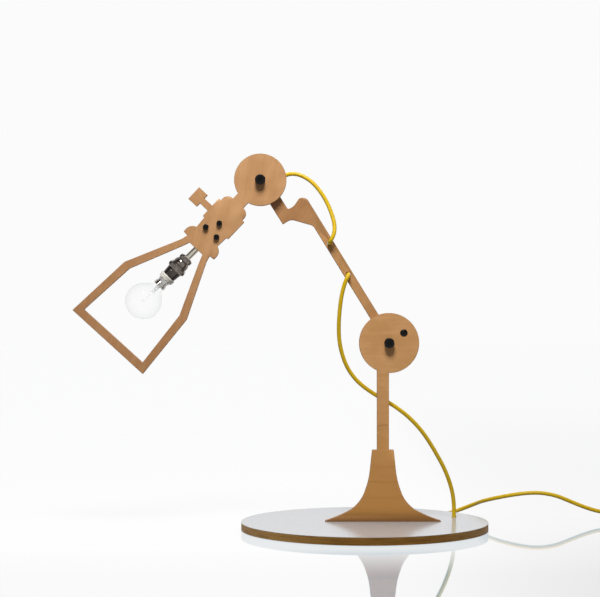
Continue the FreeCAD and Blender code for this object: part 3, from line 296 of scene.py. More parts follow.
FINE_GRAIN, BROAD_GRAIN, MOTTLE = (14, 90, 520), (9, 30, 70), (48, 48, 60)
PLY = 0.0026
PLIES_FROM = 0.0855
PALE_PLY, DARK_PLY, CUT_FIBRE = (0.46, 0.235, 0.10), (0.27, 0.12, 0.042), (0.16, 0.075, 0.025)
# Painted shade: the colours that darken the stand towards its foot, and more at its toes
FOOT_PAINTED_SHADE, TOE_PAINTED_SHADE = (0.49, 0.225, 0.048), (0.16, 0.065, 0.015)


def dark_lines(p, place, height, lines):
    """Where a plate's grain has darker lines across it, each with a height, a width and a weight."""
    sway = p.noise(p.stretch(place, (26, 1, 26)), detail=2.0)
    height = p.math("ADD", height, p.math("MULTIPLY", p.math("SUBTRACT", sway, 0.5), 0.009))
    marks = None
    for at, wide, weight in lines:
        off = p.math("SUBTRACT", height, at * MM)
        below = p.fit(off, -wide * 5 * MM, 0.0)
        above = p.fit(off, 0.0, wide * MM, 1.0, 0.0)
        mark = p.math("MULTIPLY", p.math("MULTIPLY", below, above), weight)
        marks = mark if marks is None else p.math("ADD", marks, mark, clamp=True)
    return marks


def cut_edge(p, place, y):
    """The plies on a plate's cut edges."""
    ply = p.math("FRACT", p.math("MULTIPLY", p.math("ADD", y, PLIES_FROM), 1.0 / PLY))
    band = p.fit(p.math("ABSOLUTE", p.math("SUBTRACT", ply, 0.5)), 0.20, 0.28)
    fibres = p.noise(p.stretch(place, (900, 300, 900)), detail=2.0, rough=0.6)
    return p.mix(p.fit(fibres, 0.35, 0.7, 0.0, 0.35), p.mix(band, PALE_PLY, DARK_PLY), CUT_FIBRE)


def wood(name, light, dark, grain_turn, lines=(), painted_foot_shade=0.0, darker=None):
    """Varnished plywood: a soft straight grain on the faces, and its plies on every cut edge."""
    p = Paint(name)
    place = p.place()
    along_grain = p.stretch(place, (1, 1, 1), (0, grain_turn, 0))
    fine = p.noise(p.stretch(along_grain, FINE_GRAIN), rough=0.55)
    broad = p.noise(p.stretch(along_grain, BROAD_GRAIN), rough=0.55, distortion=0.8)
    mottle = p.noise(p.stretch(place, MOTTLE), rough=0.6)
    tone = p.math("ADD", p.math("MULTIPLY", fine, 0.24), p.math("MULTIPLY", broad, 0.34))
    tone = p.math("ADD", tone, p.math("MULTIPLY", mottle, 0.42))
    colour = p.mix(p.fit(tone, 0.38, 0.62), dark, light)
    _, y, z = p.split(place)
    if lines:
        colour = p.mix(dark_lines(p, place, z, lines), colour, tuple(c * 0.55 for c in dark))
    # Painted shade: the colour darkens and reddens round a given centre
    if darker:
        centre, near, far, amount = darker
        reach = p.node("VectorMath", {0: place, 1: centre}, operation="DISTANCE").outputs["Value"]
        painted_shade_zone = p.math("MULTIPLY", p.fit(reach, near * MM, far * MM), amount)
        colour = p.mix(painted_shade_zone, colour, p.mix(1.0, colour, (0.22, 0.02, 0.0), "MULTIPLY"))
    # Painted shade: the wood darkens towards the foot, and more in the lowest band at the toes
    if painted_foot_shade:
        colour = p.mix(p.fit(z, 0.012, 0.21, painted_foot_shade, 0.0), colour, FOOT_PAINTED_SHADE)
        colour = p.mix(p.fit(z, 0.010, 0.027, 0.78, 0.0), colour, TOE_PAINTED_SHADE)
    sideways = p.math("ABSOLUTE", p.split(p.place("Normal"))[1])
    edge = p.fit(sideways, 0.6, 0.97, 1.0, 0.0)
    p.set(Base_Color=p.mix(edge, colour, cut_edge(p, place, y)))
    p.set(Roughness=p.fit(tone, 0.3, 0.7, 0.55, 0.44, smooth=False))
    p.set(Specular_IOR_Level=0.3)
    p.bump(p.math("ADD", fine, p.math("MULTIPLY", mottle, 0.4)), 0.12, 0.0002)
    return p.material


# Other finishes

def speckled(name, colour, roughness, metallic=0.0, scale=900.0, depth=0.1, vary=0.12, **more):
    """A plain finish with fine tone changes, faint wear and a grain in the bump."""
    p = Paint(name)
    place = p.place()
    fine = p.noise(place, scale, rough=0.6)
    broad = p.noise(place, scale / 12.0, detail=2.0)
    dark = tuple(c * (1 - vary) for c in colour)
    pale = tuple(min(1.0, c * (1 + vary) + vary * 0.02) for c in colour)
    p.set(Base_Color=p.mix(p.fit(broad, 0.3, 0.7), dark, pale))
    p.set(Roughness=p.fit(fine, 0.3, 0.7, roughness * 0.8, roughness * 1.25))
    p.set(Metallic=metallic, **more)
    p.bump(fine, depth, 0.0002)
    return p.material


def metal(name, colour, roughness, scale, depth, vary=0.12):
    return speckled(name, colour, roughness, 1.0, scale, depth, vary)


def cord_sheath():
    """A smooth satin sheath: slight waves in the tone along the cord, and a very fine skin."""
    p = Paint("cord_sheath")
    u, v, _ = p.split(p.node("UVMap", uv_map="along").outputs[0])
    stretched = {0: p.math("MULTIPLY", u, 60.0), 1: p.math("MULTIPLY", v, 2.0)}
    waves = p.noise(p.node("CombineXYZ", stretched).outputs[0], detail=2.0)
    skin = p.noise(p.place(), 2600.0, detail=2.0, rough=0.6)
    p.set(Base_Color=p.mix(p.fit(waves, 0.3, 0.7), (0.66, 0.435, 0.003), (0.73, 0.495, 0.008)))
    p.set(Roughness=p.fit(skin, 0.3, 0.7, 0.34, 0.44), Specular_IOR_Level=0.28)
    p.bump(skin, 0.03, 0.0001)
    return p.material


def board_edge():
    """The base board: a brown fibre board with a faint layered edge, and painted light that makes it
    lighter to its left and right.
    """
    p = Paint("board_edge")
    place = p.place()
    x = p.split(place)["X"]
    layers = p.noise(p.stretch(place, (40, 40, 1100)), rough=0.6)
    chips = p.noise(place, 1300.0, rough=0.65)
    tone = p.math("ADD", p.math("MULTIPLY", layers, 0.6), p.math("MULTIPLY", chips, 0.4))
    grain = p.fit(tone, 0.36, 0.64)
    middle = p.mix(grain, (0.17, 0.077, 0.012), (0.325, 0.165, 0.035))
    painted_lit_ends = p.mix(grain, (0.33, 0.174, 0.050), (0.59, 0.345, 0.122))
    # Painted light: the edge turns lighter towards its left and right ends
    side = p.math("MAXIMUM", p.fit(x, -0.03, -0.135), p.fit(x, 0.06, 0.14, 0.0, 0.5))
    p.set(Base_Color=p.mix(side, middle, painted_lit_ends))
    p.set(Roughness=0.6, Specular_IOR_Level=0.15)
    p.bump(tone, 0.4, 0.0004)
    return p.material


def clear_glass():
    """Thin clear glass: see-through from the front, with a painted grey rim where it turns away, standing
    in for the rim that reflection and refraction give.
    """
    p = Paint("clear_glass")
    waves = p.fit(p.noise(p.place(), 60.0, detail=2.0), 0.3, 0.7)
    clear = p.mix(waves, (0.992, 0.993, 0.993), (0.999, 0.999, 0.999))
    # Painted shade: a grey tint that grows where the glass turns away from view
    turn = p.math("POWER", p.node("LayerWeight", {"Blend": 0.5}).outputs["Facing"], 2.0)
    p.set(Base_Color=p.mix(turn, clear, (0.82, 0.825, 0.83)))
    p.set(Transmission_Weight=1.0, IOR=1.10, Roughness=0.0)
    return p.material


CORD = cord_sheath()
CORD_RADIUS = 2.5 * MM


# Cords

def cord(name, points, body, stands_for, bends=None, **facts):
    line = centreline(points)
    piece = tube(name, line, CORD_RADIUS, CORD)
    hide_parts(*stands_for)
    if bends:
        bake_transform(piece)
    else:
        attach(piece, body)


# The head's cord: from the lampholder's tube through the clip, over the loop and behind the arm

FRONT_TURN = -5.2
BACK_TURN = 19.2
HALFWAY = (FRONT_TURN + BACK_TURN) / 2
SPAN = LOW_HOLE - HIGH_HOLE
SIDE = Vector((SPAN.z, 0, -SPAN.x)).normalized() * MM
PAST_CLIP = on_holder(-77.0, 2.6, 9.3)
BEFORE_CLIP = on_holder(-61.0, 4.5, 9.9)

head_cord = [
    on_holder(28.7, 0.1, HOLDER_BACK),
    on_holder(15.0, 0.1, HOLDER_BACK),
    on_holder(-1.0, -0.1, HOLDER_BACK),
    on_holder(-17.0, 0.0, HOLDER_BACK),
    on_holder(-32.0, 0.3, HOLDER_BACK),
    on_holder(-42.0, 5.2, HOLDER_BACK),
    on_holder(-53.5, 6.3, HOLDER_BACK),
    BEFORE_CLIP,
    PAST_CLIP,
    PAST_CLIP + (PAST_CLIP - BEFORE_CLIP) * 0.5,
    beside_pivot(-4.0, -19.5, 15.4),
    beside_pivot(9.5, -11.5, 19.6),
    beside_pivot(20.0, -1.0, 19.8),
    beside_pivot(29.0, 6.6, 19.4),
    beside_pivot(38.8, 9.2, 18.6),
    beside_pivot(50.2, 6.8, 17.0),
    beside_pivot(62.2, -0.6, 14.6),
    beside_pivot(71.4, -10.8, 11.8),
    beside_pivot(80.0, -24.0, 8.6),
    beside_pivot(86.8, -40.0, 4.8),
    beside_pivot(90.6, -54.0, 0.6),
    beside_pivot(90.0, -66.0, -3.4),
    through(HIGH_HOLE, FRONT_TURN),
    through(HIGH_HOLE, BACK_TURN),
    through(HIGH_HOLE + SPAN * 0.28 + SIDE * 0.8, BACK_TURN + 0.4),
    through(HIGH_HOLE + SPAN * 0.72 + SIDE * 0.5, BACK_TURN + 0.3),
    through(LOW_HOLE, BACK_TURN),
    through(LOW_HOLE, HALFWAY),
]
cord(
    "head_cord",
    head_cord,
    None,
    ("cord_head_run", "cord_upper_loop", "cord_arm_run"),
    bends=(("head", "arm"), PAST_CLIP, through(HIGH_HOLE, FRONT_TURN)),
    far_end="object",
    stiffness="medium",
    lay="loose",
)

# The stand's cord: over the lower loop, down behind the post and along the base's groove

OVER_HOLE = world(112.3, 41.0, 14.8)
GROOVE_START = world(112.3, 41.0, 0)
BASE_RADIUS = 0.15
EXIT_ANGLE = math.radians(48.7)
GROOVE_EXIT = Vector((math.cos(EXIT_ANGLE), math.sin(EXIT_ANGLE), 0)) * BASE_RADIUS
GROOVE_WAY = (GROOVE_EXIT - GROOVE_START).normalized()
GROOVE_SIDE = Vector((-GROOVE_WAY.y, GROOVE_WAY.x, 0))
GROOVE_RUN = (GROOVE_EXIT - GROOVE_START).length / MM
GROOVE_FLOOR = 3.1
BEHIND_POST = world(23.7, 14.4, 157.3)


def in_groove(along, aside):
    spot = GROOVE_START + (GROOVE_WAY * along + GROOVE_SIDE * aside) * MM
    return Vector((spot.x, spot.y, GROOVE_FLOOR * MM))


stand_cord = [
    through(LOW_HOLE, HALFWAY),
    through(LOW_HOLE, FRONT_TURN),
    world(-24.4, -5.4, 299.4),
    world(-28.3, -4.4, 283.5),
    world(-30.4, -2.4, 266.0),
    world(-31.5, 0.2, 247.5),
    world(-30.8, 3.0, 229.5),
    world(-27.0, 5.8, 212.0),
    world(-20.8, 8.6, 196.2),
    world(-10.9, 11.2, 182.2),
    world(1.0, 13.2, 171.6),
    world(12.4, 14.2, 164.0),
    BEHIND_POST,
    world(38.96, 14.67, 148.26),
    world(55.8, 17.2, 135.2),
    world(72.7, 20.6, 116.9),
    world(87.1, 26.0, 94.2),
    world(101.0, 32.0, 69.3),
    world(109.7, 37.2, 44.5),
    world(112.3, 41.0, 27.3),
    OVER_HOLE,
    in_groove(0.0, 0.0),
    in_groove(15.0, 0.2),
    in_groove(38.0, -0.15),
    in_groove(GROOVE_RUN - 23.0, 0.0),
    in_groove(GROOVE_RUN - 9.0, 0.0),
]
cord(
    "stand_cord",
    stand_cord,
    None,
    ("cord_lower_loop", "cord_drop", "cord_base_run"),
    bends=(("arm", "stand"), through(LOW_HOLE, FRONT_TURN), BEHIND_POST),
    far_end="object",
    stiffness="medium",
    lay="loose",
)

# The lead over the floor, from the groove to the switch

SWITCH_X = 329.6
SWITCH_Y = 30.5
SWITCH_LONG = 60.0
GLAND = 20.0
SWITCH_AXIS = 8.5

arch_cord = [
    in_groove(GROOVE_RUN - 9.0, 0.0),
    in_groove(GROOVE_RUN + 8.0, 0.0),
    world(103.8, 135.6, 2.9),
    world(117.9, 145.2, 3.2),
    world(134.9, 145.3, 9.5),
    world(149.0, 136.0, 16.4),
    world(155.6, 120.5, 21.2),
    world(169.3, 107.8, 26.1),
    world(187.5, 100.6, 30.5),
    world(206.5, 95.9, 33.9),
    world(226.0, 92.6, 34.9),
    world(246.0, 91.0, 31.5),
    world(264.0, 90.0, 24.0),
    world(283.0, 88.6, 16.3),
    world(301.0, 87.2, 11.2),
    world(315.3, 83.2, 10.4),
    world(324.8, 75.2, 9.2),
    world(SWITCH_X, SWITCH_Y + GLAND + 13.2, SWITCH_AXIS),
    world(SWITCH_X, SWITCH_Y + GLAND, SWITCH_AXIS),
]
cord(
    "arch_cord",
    arch_cord,
    "stand",
    ("cord_arch",),
    far_end="fitting",
    stiffness="medium",
    lay="loose",
    with_pieces=[nodes[n] for n in nodes if n.startswith("switch_")],
)

# The stored coil and the plug's lead: turns inwards on the floor, a climb, and turns outwards on top

COIL_X, COIL_Y, COIL_RADIUS, PITCH = 368.5, -95.0, 38.5, 5.7
TURNS_IN, CLIMB, TURNS_OUT = 3.0, 0.5, 3.0
COIL_TURNS = TURNS_IN + CLIMB + TURNS_OUT
POINTS_PER_TURN = 18
PLUG_X = COIL_X + COIL_RADIUS
PLUG_BACK = -58.0
PLUG_AXIS = 6.85


def coil_point(turns):
    climb = min(max((turns - TURNS_IN) / CLIMB, 0.0), 1.0)
    radius = COIL_RADIUS - PITCH * min(turns, TURNS_IN)
    radius -= PITCH * CLIMB * climb * (1 - climb)
    radius += PITCH * max(turns - TURNS_IN - CLIMB, 0.0)
    rise = PITCH * climb**2 * (3 - 2 * climb)
    angle = math.pi + 2 * math.pi * turns
    return world(COIL_X + radius * math.cos(angle), COIL_Y + radius * math.sin(angle), 2.5 + rise)


def coil_way(turns):
    return (coil_point(turns + 1e-4) - coil_point(turns - 1e-4)).normalized()


coil_cord = [
    world(SWITCH_X, SWITCH_Y - SWITCH_LONG - GLAND, SWITCH_AXIS),
    world(SWITCH_X, SWITCH_Y - SWITCH_LONG - GLAND - 9.0, SWITCH_AXIS),
    world(SWITCH_X + 0.6, -68.5, 5.2),
    world(SWITCH_X + 0.8, -78.0, 2.6),
    coil_point(0) - coil_way(0) * 9.0 * MM,
]
coil_cord += [coil_point(n / POINTS_PER_TURN) for n in range(int(COIL_TURNS * POINTS_PER_TURN) + 1)]
coil_cord += [
    coil_point(COIL_TURNS) + coil_way(COIL_TURNS) * 12.0 * MM,
    world(PLUG_X, PLUG_BACK - 12.0, PLUG_AXIS),
    world(PLUG_X, PLUG_BACK, PLUG_AXIS),
]
cord(
    "coil_cord",
    coil_cord,
    "stand",
    ("cord_after_switch", "cord_coil", "cord_plug_lead"),
    far_end="plug",
    stiffness="medium",
    lay="coiled",
    with_pieces=[nodes[n] for n in nodes if n.startswith("plug_")],
)

# Darker lines across the stand's grain: each one's height and width in millimetres, and its weight

STAND_LINES = (
    (127.4, 0.7, 0.7),
    (123.4, 0.5, 0.35),
    (111.6, 0.5, 0.2),
    (101.9, 0.5, 0.18),
    (77.6, 0.7, 0.5),
    (58.2, 0.7, 0.7),
    (40.0, 0.8, 0.6),
    (26.6, 0.8, 0.4),
)

# Painted shade on a plate, darker round a centre: its centre, the distances where it starts and is full,
# and its weight

# Painted shadow of the head's disc on the arm, next to the upper pivot
ARM_PAINTED_SHADOW = (tuple(UPPER_PIVOT), 115, 65, 0.27)
# Painted shade over the head's far end, where the lamp's light falls off
HEAD_PAINTED_SHADE = (tuple(UPPER_PIVOT), 100, 170, 0.17)

# Finishes of the CAD nodes

ARM_GRAIN = math.radians(58.33)
HEAD_GRAIN = math.radians(78)
STAND_WOOD = wood(
    "stand_wood", (0.66, 0.358, 0.153), (0.575, 0.296, 0.112), 0.0, STAND_LINES, painted_foot_shade=0.85
)
ARM_WOOD = wood("arm_wood", (0.575, 0.310, 0.130), (0.48, 0.246, 0.094), ARM_GRAIN, darker=ARM_PAINTED_SHADOW)
HEAD_WOOD = wood("head_wood", (0.60, 0.329, 0.152), (0.51, 0.266, 0.113), HEAD_GRAIN, darker=HEAD_PAINTED_SHADE)

BLACK_STEEL = speckled(
    "black_steel", (0.004, 0.004, 0.004), 0.25, scale=1800.0, depth=0.05, vary=0.05, Specular_IOR_Level=0.16
)
ZINC = metal("zinc", (0.62, 0.62, 0.63), 0.30, 1500.0, 0.08)
NYLON = speckled("nylon", (0.82, 0.80, 0.74), 0.45, scale=600.0, depth=0.05, vary=0.04)
ALUMINIUM = metal("aluminium", (0.62, 0.63, 0.645), 0.36, 1400.0, 0.12, 0.03)
NICKEL = metal("nickel", (0.56, 0.53, 0.46), 0.20, 800.0, 0.03, 0.05)
CHROME = metal("chrome", (0.46, 0.45, 0.43), 0.11, 700.0, 0.02, 0.05)
BRONZE = metal("bronze", (0.20, 0.176, 0.158), 0.19, 700.0, 0.05, 0.2)
DARK_BRONZE = metal("dark_bronze", (0.062, 0.053, 0.048), 0.20, 700.0, 0.04, 0.2)
CREAM = speckled("cream", (0.76, 0.74, 0.68), 0.30, scale=500.0, depth=0.04, vary=0.05)
BRASS = metal("brass", (0.75, 0.55, 0.24), 0.28, 900.0, 0.06)
TUNGSTEN = speckled("tungsten", (0.80, 0.79, 0.78), 0.35, metallic=0.15, depth=0.05)
BLACK_PLASTIC = speckled("black_plastic", (0.020, 0.020, 0.021), 0.48, scale=2600.0, depth=0.3)
ROCKER = speckled("rocker_plastic", (0.015, 0.015, 0.016), 0.22, depth=0.03, vary=0.1)
LAMINATE = speckled(
    "laminate", (0.456, 0.468, 0.488), 0.17, scale=1700.0, depth=0.02, vary=0.02, Specular_IOR_Level=1.0
)
FELT = speckled(
    "felt", (0.035, 0.034, 0.033), 0.95, scale=2200.0, depth=0.8, vary=0.3, Specular_IOR_Level=0.1
)
GLASS = clear_glass()
STEM_GLASS = speckled(
    "stem_glass", (0.93, 0.935, 0.94), 0.25, depth=0.05, vary=0.02, Transmission_Weight=0.6, IOR=1.15
)
BOARD = board_edge()

FINISHES = {
    "stand_plate": STAND_WOOD,
    "arm_plate": ARM_WOOD,
    "head_plate": HEAD_WOOD,
    "base_board": BOARD,
    "base_laminate": LAMINATE,
    "base_pad": FELT,
    "lower_bolt": BLACK_STEEL,
    "upper_bolt": BLACK_STEEL,
    "stop_screw": BLACK_STEEL,
    "block_screws": BLACK_STEEL,
    "tube_grub_screw": BLACK_STEEL,
    "foot_screws": ZINC,
    "lower_washer": ZINC,
    "upper_washer": ZINC,
    "lower_nut": ZINC,
    "upper_nut": ZINC,
    "clip_screw": ZINC,
    "switch_pin": ZINC,
    "lower_spacer": NYLON,
    "upper_spacer": NYLON,
    "cord_clip": NYLON,
    "tube_block": ALUMINIUM,
    "stem_tube": NICKEL,
    "holder_washer": NICKEL,
    "bulb_cap": CHROME,
    "holder_cap": BRONZE,
    "holder_barrel": DARK_BRONZE,
    "holder_ring": BRONZE,
    "holder_skirt": CREAM,
    "holder_core": CREAM,
    "holder_contacts": BRASS,
    "switch_terminals": BRASS,
    "bulb_glass": GLASS,
    "bulb_mount": STEM_GLASS,
    "bulb_filament": TUNGSTEN,
    "switch_lower_shell": BLACK_PLASTIC,
    "switch_upper_shell": BLACK_PLASTIC,
    "switch_sleeves": BLACK_PLASTIC,
    "switch_rocker": ROCKER,
    "plug_body": BLACK_PLASTIC,
    "plug_relief": BLACK_PLASTIC,
    "plug_pins": NICKEL,
}
for name, material in FINISHES.items():
    nodes[name].data.materials.clear()
    nodes[name].data.materials.append(material)


# Pieces in the place of a CAD node

def body_of(node):
    for body, members in frame["record"]["behaviour"]["bodies"].items():
        if node in members:
            return body
    raise ValueError(node)


def stand_in(name, mesh, node):
    """A new piece in a node's place, on the node's body and with its finish."""
    mesh.materials.clear()
    mesh.materials.append(FINISHES[node])
    piece = new_object(name, mesh)
    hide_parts(node)
    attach(piece, body_of(node))


def sharpened(bm, name, sharp):
    """A bmesh's mesh, smooth but for edges sharper than an angle in degrees."""
    for face in bm.faces:
        face.smooth = True
    mesh = bpy.data.meshes.new(name)
    bm.to_mesh(mesh)
    bm.free()
    mesh.set_sharp_from_angle(angle=math.radians(sharp))
    return mesh


def opened(node):
    """A node's mesh for editing, with its doubled points joined."""
    bm = bmesh.new()
    bm.from_mesh(nodes[node].data)
    bmesh.ops.remove_doubles(bm, verts=bm.verts, dist=2e-6)
    return bm


def wall_normals(vert):
    """The different directions of the upright walls that meet at a point."""
    found = []
    for face in vert.link_faces:
        if abs(face.normal.y) < 0.2 and all(face.normal.dot(other) < 0.9995 for other in found):
            found.append(face.normal.copy())
    return found


def board(node, width):
    """A copy of a plate with a fine chamfer round every edge of its two faces, in the plate's place."""
    bm = opened(node)
    front = min(v.co.y for v in bm.verts)
    back = max(v.co.y for v in bm.verts)
    for level in (front + width, back - width):
        everything = bm.verts[:] + bm.edges[:] + bm.faces[:]
        bmesh.ops.bisect_plane(
            bm, geom=everything, dist=1e-7, plane_co=(0, level, 0), plane_no=(0, 1, 0)
        )
    bm.normal_update()
    moves = []
    for vert in bm.verts:
        if min(abs(vert.co.y - front), abs(vert.co.y - back)) > 1e-6:
            continue
        walls = wall_normals(vert)
        if len(walls) == 1:
            moves.append((vert, -walls[0] * width))
        elif len(walls) == 2:
            both = walls[0] + walls[1]
            moves.append((vert, -both * (width / max(1 + walls[0].dot(walls[1]), 0.4))))
    for vert, move in moves:
        vert.co += Vector((move.x, 0, move.z))
    name = node + "_board"
    stand_in(name, sharpened(bm, name, 25), node)


def softened(node, width, steps=3):
    """A copy of a node's mesh with its sharp edges rounded, in the node's place."""
    bm = opened(node)
    bmesh.ops.dissolve_limit(bm, angle_limit=math.radians(1), verts=bm.verts, edges=bm.edges)
    corner = math.radians(40)
    edges = [e for e in bm.edges if len(e.link_faces) == 2 and e.calc_face_angle() > corner]
    bmesh.ops.bevel(
        bm,
        geom=edges,
        offset=width * MM,
        segments=steps,
        profile=0.5,
        affect="EDGES",
        clamp_overlap=True,
    )
    bmesh.ops.recalc_face_normals(bm, faces=bm.faces)
    name = node + "_softened"
    stand_in(name, sharpened(bm, name, 32), node)


CHAMFER = 0.4 * MM
ROUNDINGS = {
    "plug_body": 1.4,
    "switch_lower_shell": 0.9,
    "switch_upper_shell": 0.9,
    "switch_rocker": 0.4,
    "tube_block": 0.7,
    "cord_clip": 0.25,
}
for name in ("stand_plate", "arm_plate", "head_plate"):
    board(name, CHAMFER)
for name, width in ROUNDINGS.items():
    softened(name, width)


# Turned pieces

def facing(spot, way):
    """The frame of a turned piece: its own line starts at a spot and runs a given way."""
    return Matrix.Translation(spot) @ Vector(way).to_track_quat("Z", "Y").to_matrix().to_4x4()


HOLDER_FRAME = facing(HOLDER_ROOT, HOLDER_WAY)


def turn_profile(bm, frame_at, profile, sides, knurls):
    rings = []
    for radius, along, *flats in profile:
        ring = []
        for k in range(sides):
            angle = 2 * math.pi * k / sides
            cut = 0.0
            if flats:
                wedge = 2 * math.pi / flats[0]
                cut = radius - radius / math.cos(angle % wedge - wedge / 2)
            for low, high, teeth, depth in knurls:
                if low <= along <= high:
                    cut = depth * (0.5 + 0.5 * math.cos(teeth * angle))
            reach = (radius - cut) * MM
            spot = Vector((reach * math.cos(angle), reach * math.sin(angle), along * MM))
            ring.append(bm.verts.new(frame_at @ spot))
        rings.append(ring)
    closed = rings + [rings[0]]
    for lower, upper in zip(closed, closed[1:]):
        for k in range(sides):
            after = (k + 1) % sides
            bm.faces.new((lower[k], lower[after], upper[after], upper[k]))


def lathed(name, profile, sides=96, knurls=(), sharp=35, frames=(HOLDER_FRAME,)):
    """A turned shape from (radius, along) points in mm, in one or more places.

    A point's third value is its number of flats. A knurl is (from, to, teeth, depth).
    """
    bm = bmesh.new()
    for frame_at in frames:
        turn_profile(bm, frame_at, profile, sides, knurls)
    bmesh.ops.remove_doubles(bm, verts=bm.verts, dist=1e-7)
    bmesh.ops.delete(bm, geom=[e for e in bm.edges if not e.link_faces], context="EDGES")
    bmesh.ops.recalc_face_normals(bm, faces=bm.faces)
    return sharpened(bm, name, sharp)


def arc(centre, radius, start, end, steps):
    """Points (radius, along) on an arc about a centre of the same kind, between two angles in degrees."""
    points = []
    for n in range(steps + 1):
        angle = math.radians(start + (end - start) * n / steps)
        points.append((centre[0] + radius * math.cos(angle), centre[1] + radius * math.sin(angle)))
    return points


# Lampholder and bulb, turned about the holder's own line

TUBE = 4.05
CAP_START, SEAT, RING_START, RING_END, BARREL_END, SKIRT_END = 16.2, 28.7, 29.7, 37.3, 48.0, 54.0
GLASS_START = 64.8

washer_profile = [(TUBE, 15.0), (6.4, 15.0), (6.8, 15.25), (6.8, 15.95), (6.5, 16.2), (TUBE, 16.2)]

cap_profile = [(TUBE, CAP_START), (8.5, CAP_START), (8.8, 16.4), (8.8, 16.75), (8.5, 16.95)]
cap_profile += [(8.0, 17.05), (8.1, 17.3), (8.6, 17.5), (8.6, 18.1), (8.6, 18.8), (8.6, 19.5)]
cap_profile += [(8.6, 20.2), (8.6, 20.8), (8.45, 21.1), (7.9, 21.3), (7.75, 21.6), (7.9, 21.95)]
cap_profile += [(8.25, 22.2), (8.75, 23.0), (9.15, 23.9), (9.45, 24.9), (9.65, 26.0), (9.75, 27.0)]
cap_profile += [(9.6, 27.15), (9.6, 27.35), (9.85, 27.5), (9.95, 27.8), (9.95, 28.5), (9.8, SEAT)]
cap_profile += [(8.45, SEAT), (8.4, 25.0), (TUBE, 23.5)]

ring_profile = [(9.4, RING_START), (10.9, RING_START), (11.25, 29.9), (11.25, 30.5), (10.9, 30.7)]
ring_profile += [(10.3, 30.75), (10.3, 31.5), (11.4, 31.6), (11.85, 31.9), (11.98, 32.3)]
ring_profile += [(11.98, 33.0), (11.98, 33.9), (11.98, 34.8), (11.98, 35.6), (11.85, 36.0)]
ring_profile += [(11.3, 36.3), (10.9, 36.9), (10.6, RING_END), (9.4, RING_END)]

barrel_profile = [(7.95, SEAT), (9.3, SEAT), (9.3, RING_END), (9.5, 37.4), (9.6, 37.7), (9.6, 39.4)]
barrel_profile += [(9.5, 39.7), (9.3, 39.8), (9.3, 40.05), (9.4, 40.2), (9.1, 43.4), (8.8, 46.3)]
barrel_profile += [(8.6, 46.4), (8.6, 46.6), (8.72, 46.75), (8.66, 47.6), (8.5, BARREL_END)]
barrel_profile += [(7.95, BARREL_END)]

skirt_profile = [(7.95, BARREL_END), (9.6, BARREL_END), (9.95, 48.15), (10.12, 48.5), (10.12, 50.1)]
skirt_profile += [(9.95, 50.5), (9.8, 51.5), (9.65, 53.2), (9.5, 53.75), (9.2, SKIRT_END)]
skirt_profile += [(8.3, SKIRT_END), (7.95, 53.7)]

sleeve_profile = [(0.0, 46.0), (5.0, 46.0), (7.0, 46.5), (7.85, 47.5), (7.85, 55.6), (7.5, 56.3)]
sleeve_profile += [(6.95, 57.2), (6.85, 58.2), (6.95, 59.2), (7.5, 60.0), (7.85, 60.5), (7.85, 62.3)]
sleeve_profile += [(7.5, 62.6), (7.5, 62.9), (8.0, 63.2), (8.15, 63.6), (8.15, 64.5)]
sleeve_profile += [(7.9, GLASS_START), (7.1, GLASS_START), (7.05, 60.6), (6.4, 59.8), (6.4, 48.0)]
sleeve_profile += [(0.0, 48.0)]

CAP_KNURL, RING_KNURL = (17.4, 20.9, 36, 0.30), (32.2, 35.7, 60, 0.30)
turned_pieces = {
    "holder_washer": (washer_profile, 64, (), 35),
    "holder_cap": (cap_profile, 144, (CAP_KNURL,), 40),
    "holder_ring": (ring_profile, 240, (RING_KNURL,), 40),
    "holder_barrel": (barrel_profile, 96, (), 35),
    "holder_skirt": (skirt_profile, 96, (), 35),
    "bulb_cap": (sleeve_profile, 96, (), 35),
}
for node, shape in turned_pieces.items():
    stand_in(node + "_turned", lathed(node + "_turned", *shape), node)

BALL, WALL, NECK = 22.5, 0.55, 7.0
BALL_AT = GLASS_START + BALL + 3.8
NECK_STEPS, BALL_STEPS = 12, 40
NECK_ANGLE = -50


def bulb_shell(reach):
    """The bulb's half outline at a wall's depth: a straight neck that flows into the ball."""
    start = (NECK - reach, GLASS_START + 0.5)
    low = math.radians(NECK_ANGLE)
    join = ((BALL - reach) * math.cos(low), BALL_AT + (BALL - reach) * math.sin(low))
    turn = (NECK - reach + 0.6, GLASS_START + 3.4)
    points = [(NECK - reach, GLASS_START - 4.0)]
    for n in range(NECK_STEPS + 1):
        t = n / NECK_STEPS
        radius = (1 - t) ** 2 * start[0] + 2 * t * (1 - t) * turn[0] + t**2 * join[0]
        along = (1 - t) ** 2 * start[1] + 2 * t * (1 - t) * turn[1] + t**2 * join[1]
        points.append((radius, along))
    return points + arc((0, BALL_AT), BALL - reach, NECK_ANGLE, 90, BALL_STEPS)[1:]


bulb_profile = bulb_shell(0.0) + list(reversed(bulb_shell(WALL)))
stand_in("bulb_glass_blown", lathed("bulb_glass_blown", bulb_profile, 128, sharp=80), "bulb_glass")

stem_profile = [
    (radius, GLASS_START + along)
    for radius, along in (
        (0.0, -4.0),
        (6.2, -4.0),
        (6.2, -3.2),
        (4.6, -2.4),
        (3.2, -0.9),
        (2.5, 1.4),
        (2.2, 4.0),
        (1.9, 8.0),
        (1.8, 11.4),
        (1.5, 11.9),
        (0.0, 12.0),
    )
]
stand_in("bulb_mount_blown", lathed("bulb_mount_blown", stem_profile, 48, sharp=60), "bulb_mount")

WIRE = 0.045 * MM
STEM_TIP = GLASS_START + 11.0
HANG = STEM_TIP + 14.6
WINDINGS, WINDING_RADIUS, POINTS_PER_SPAN = 15, 0.16, 60


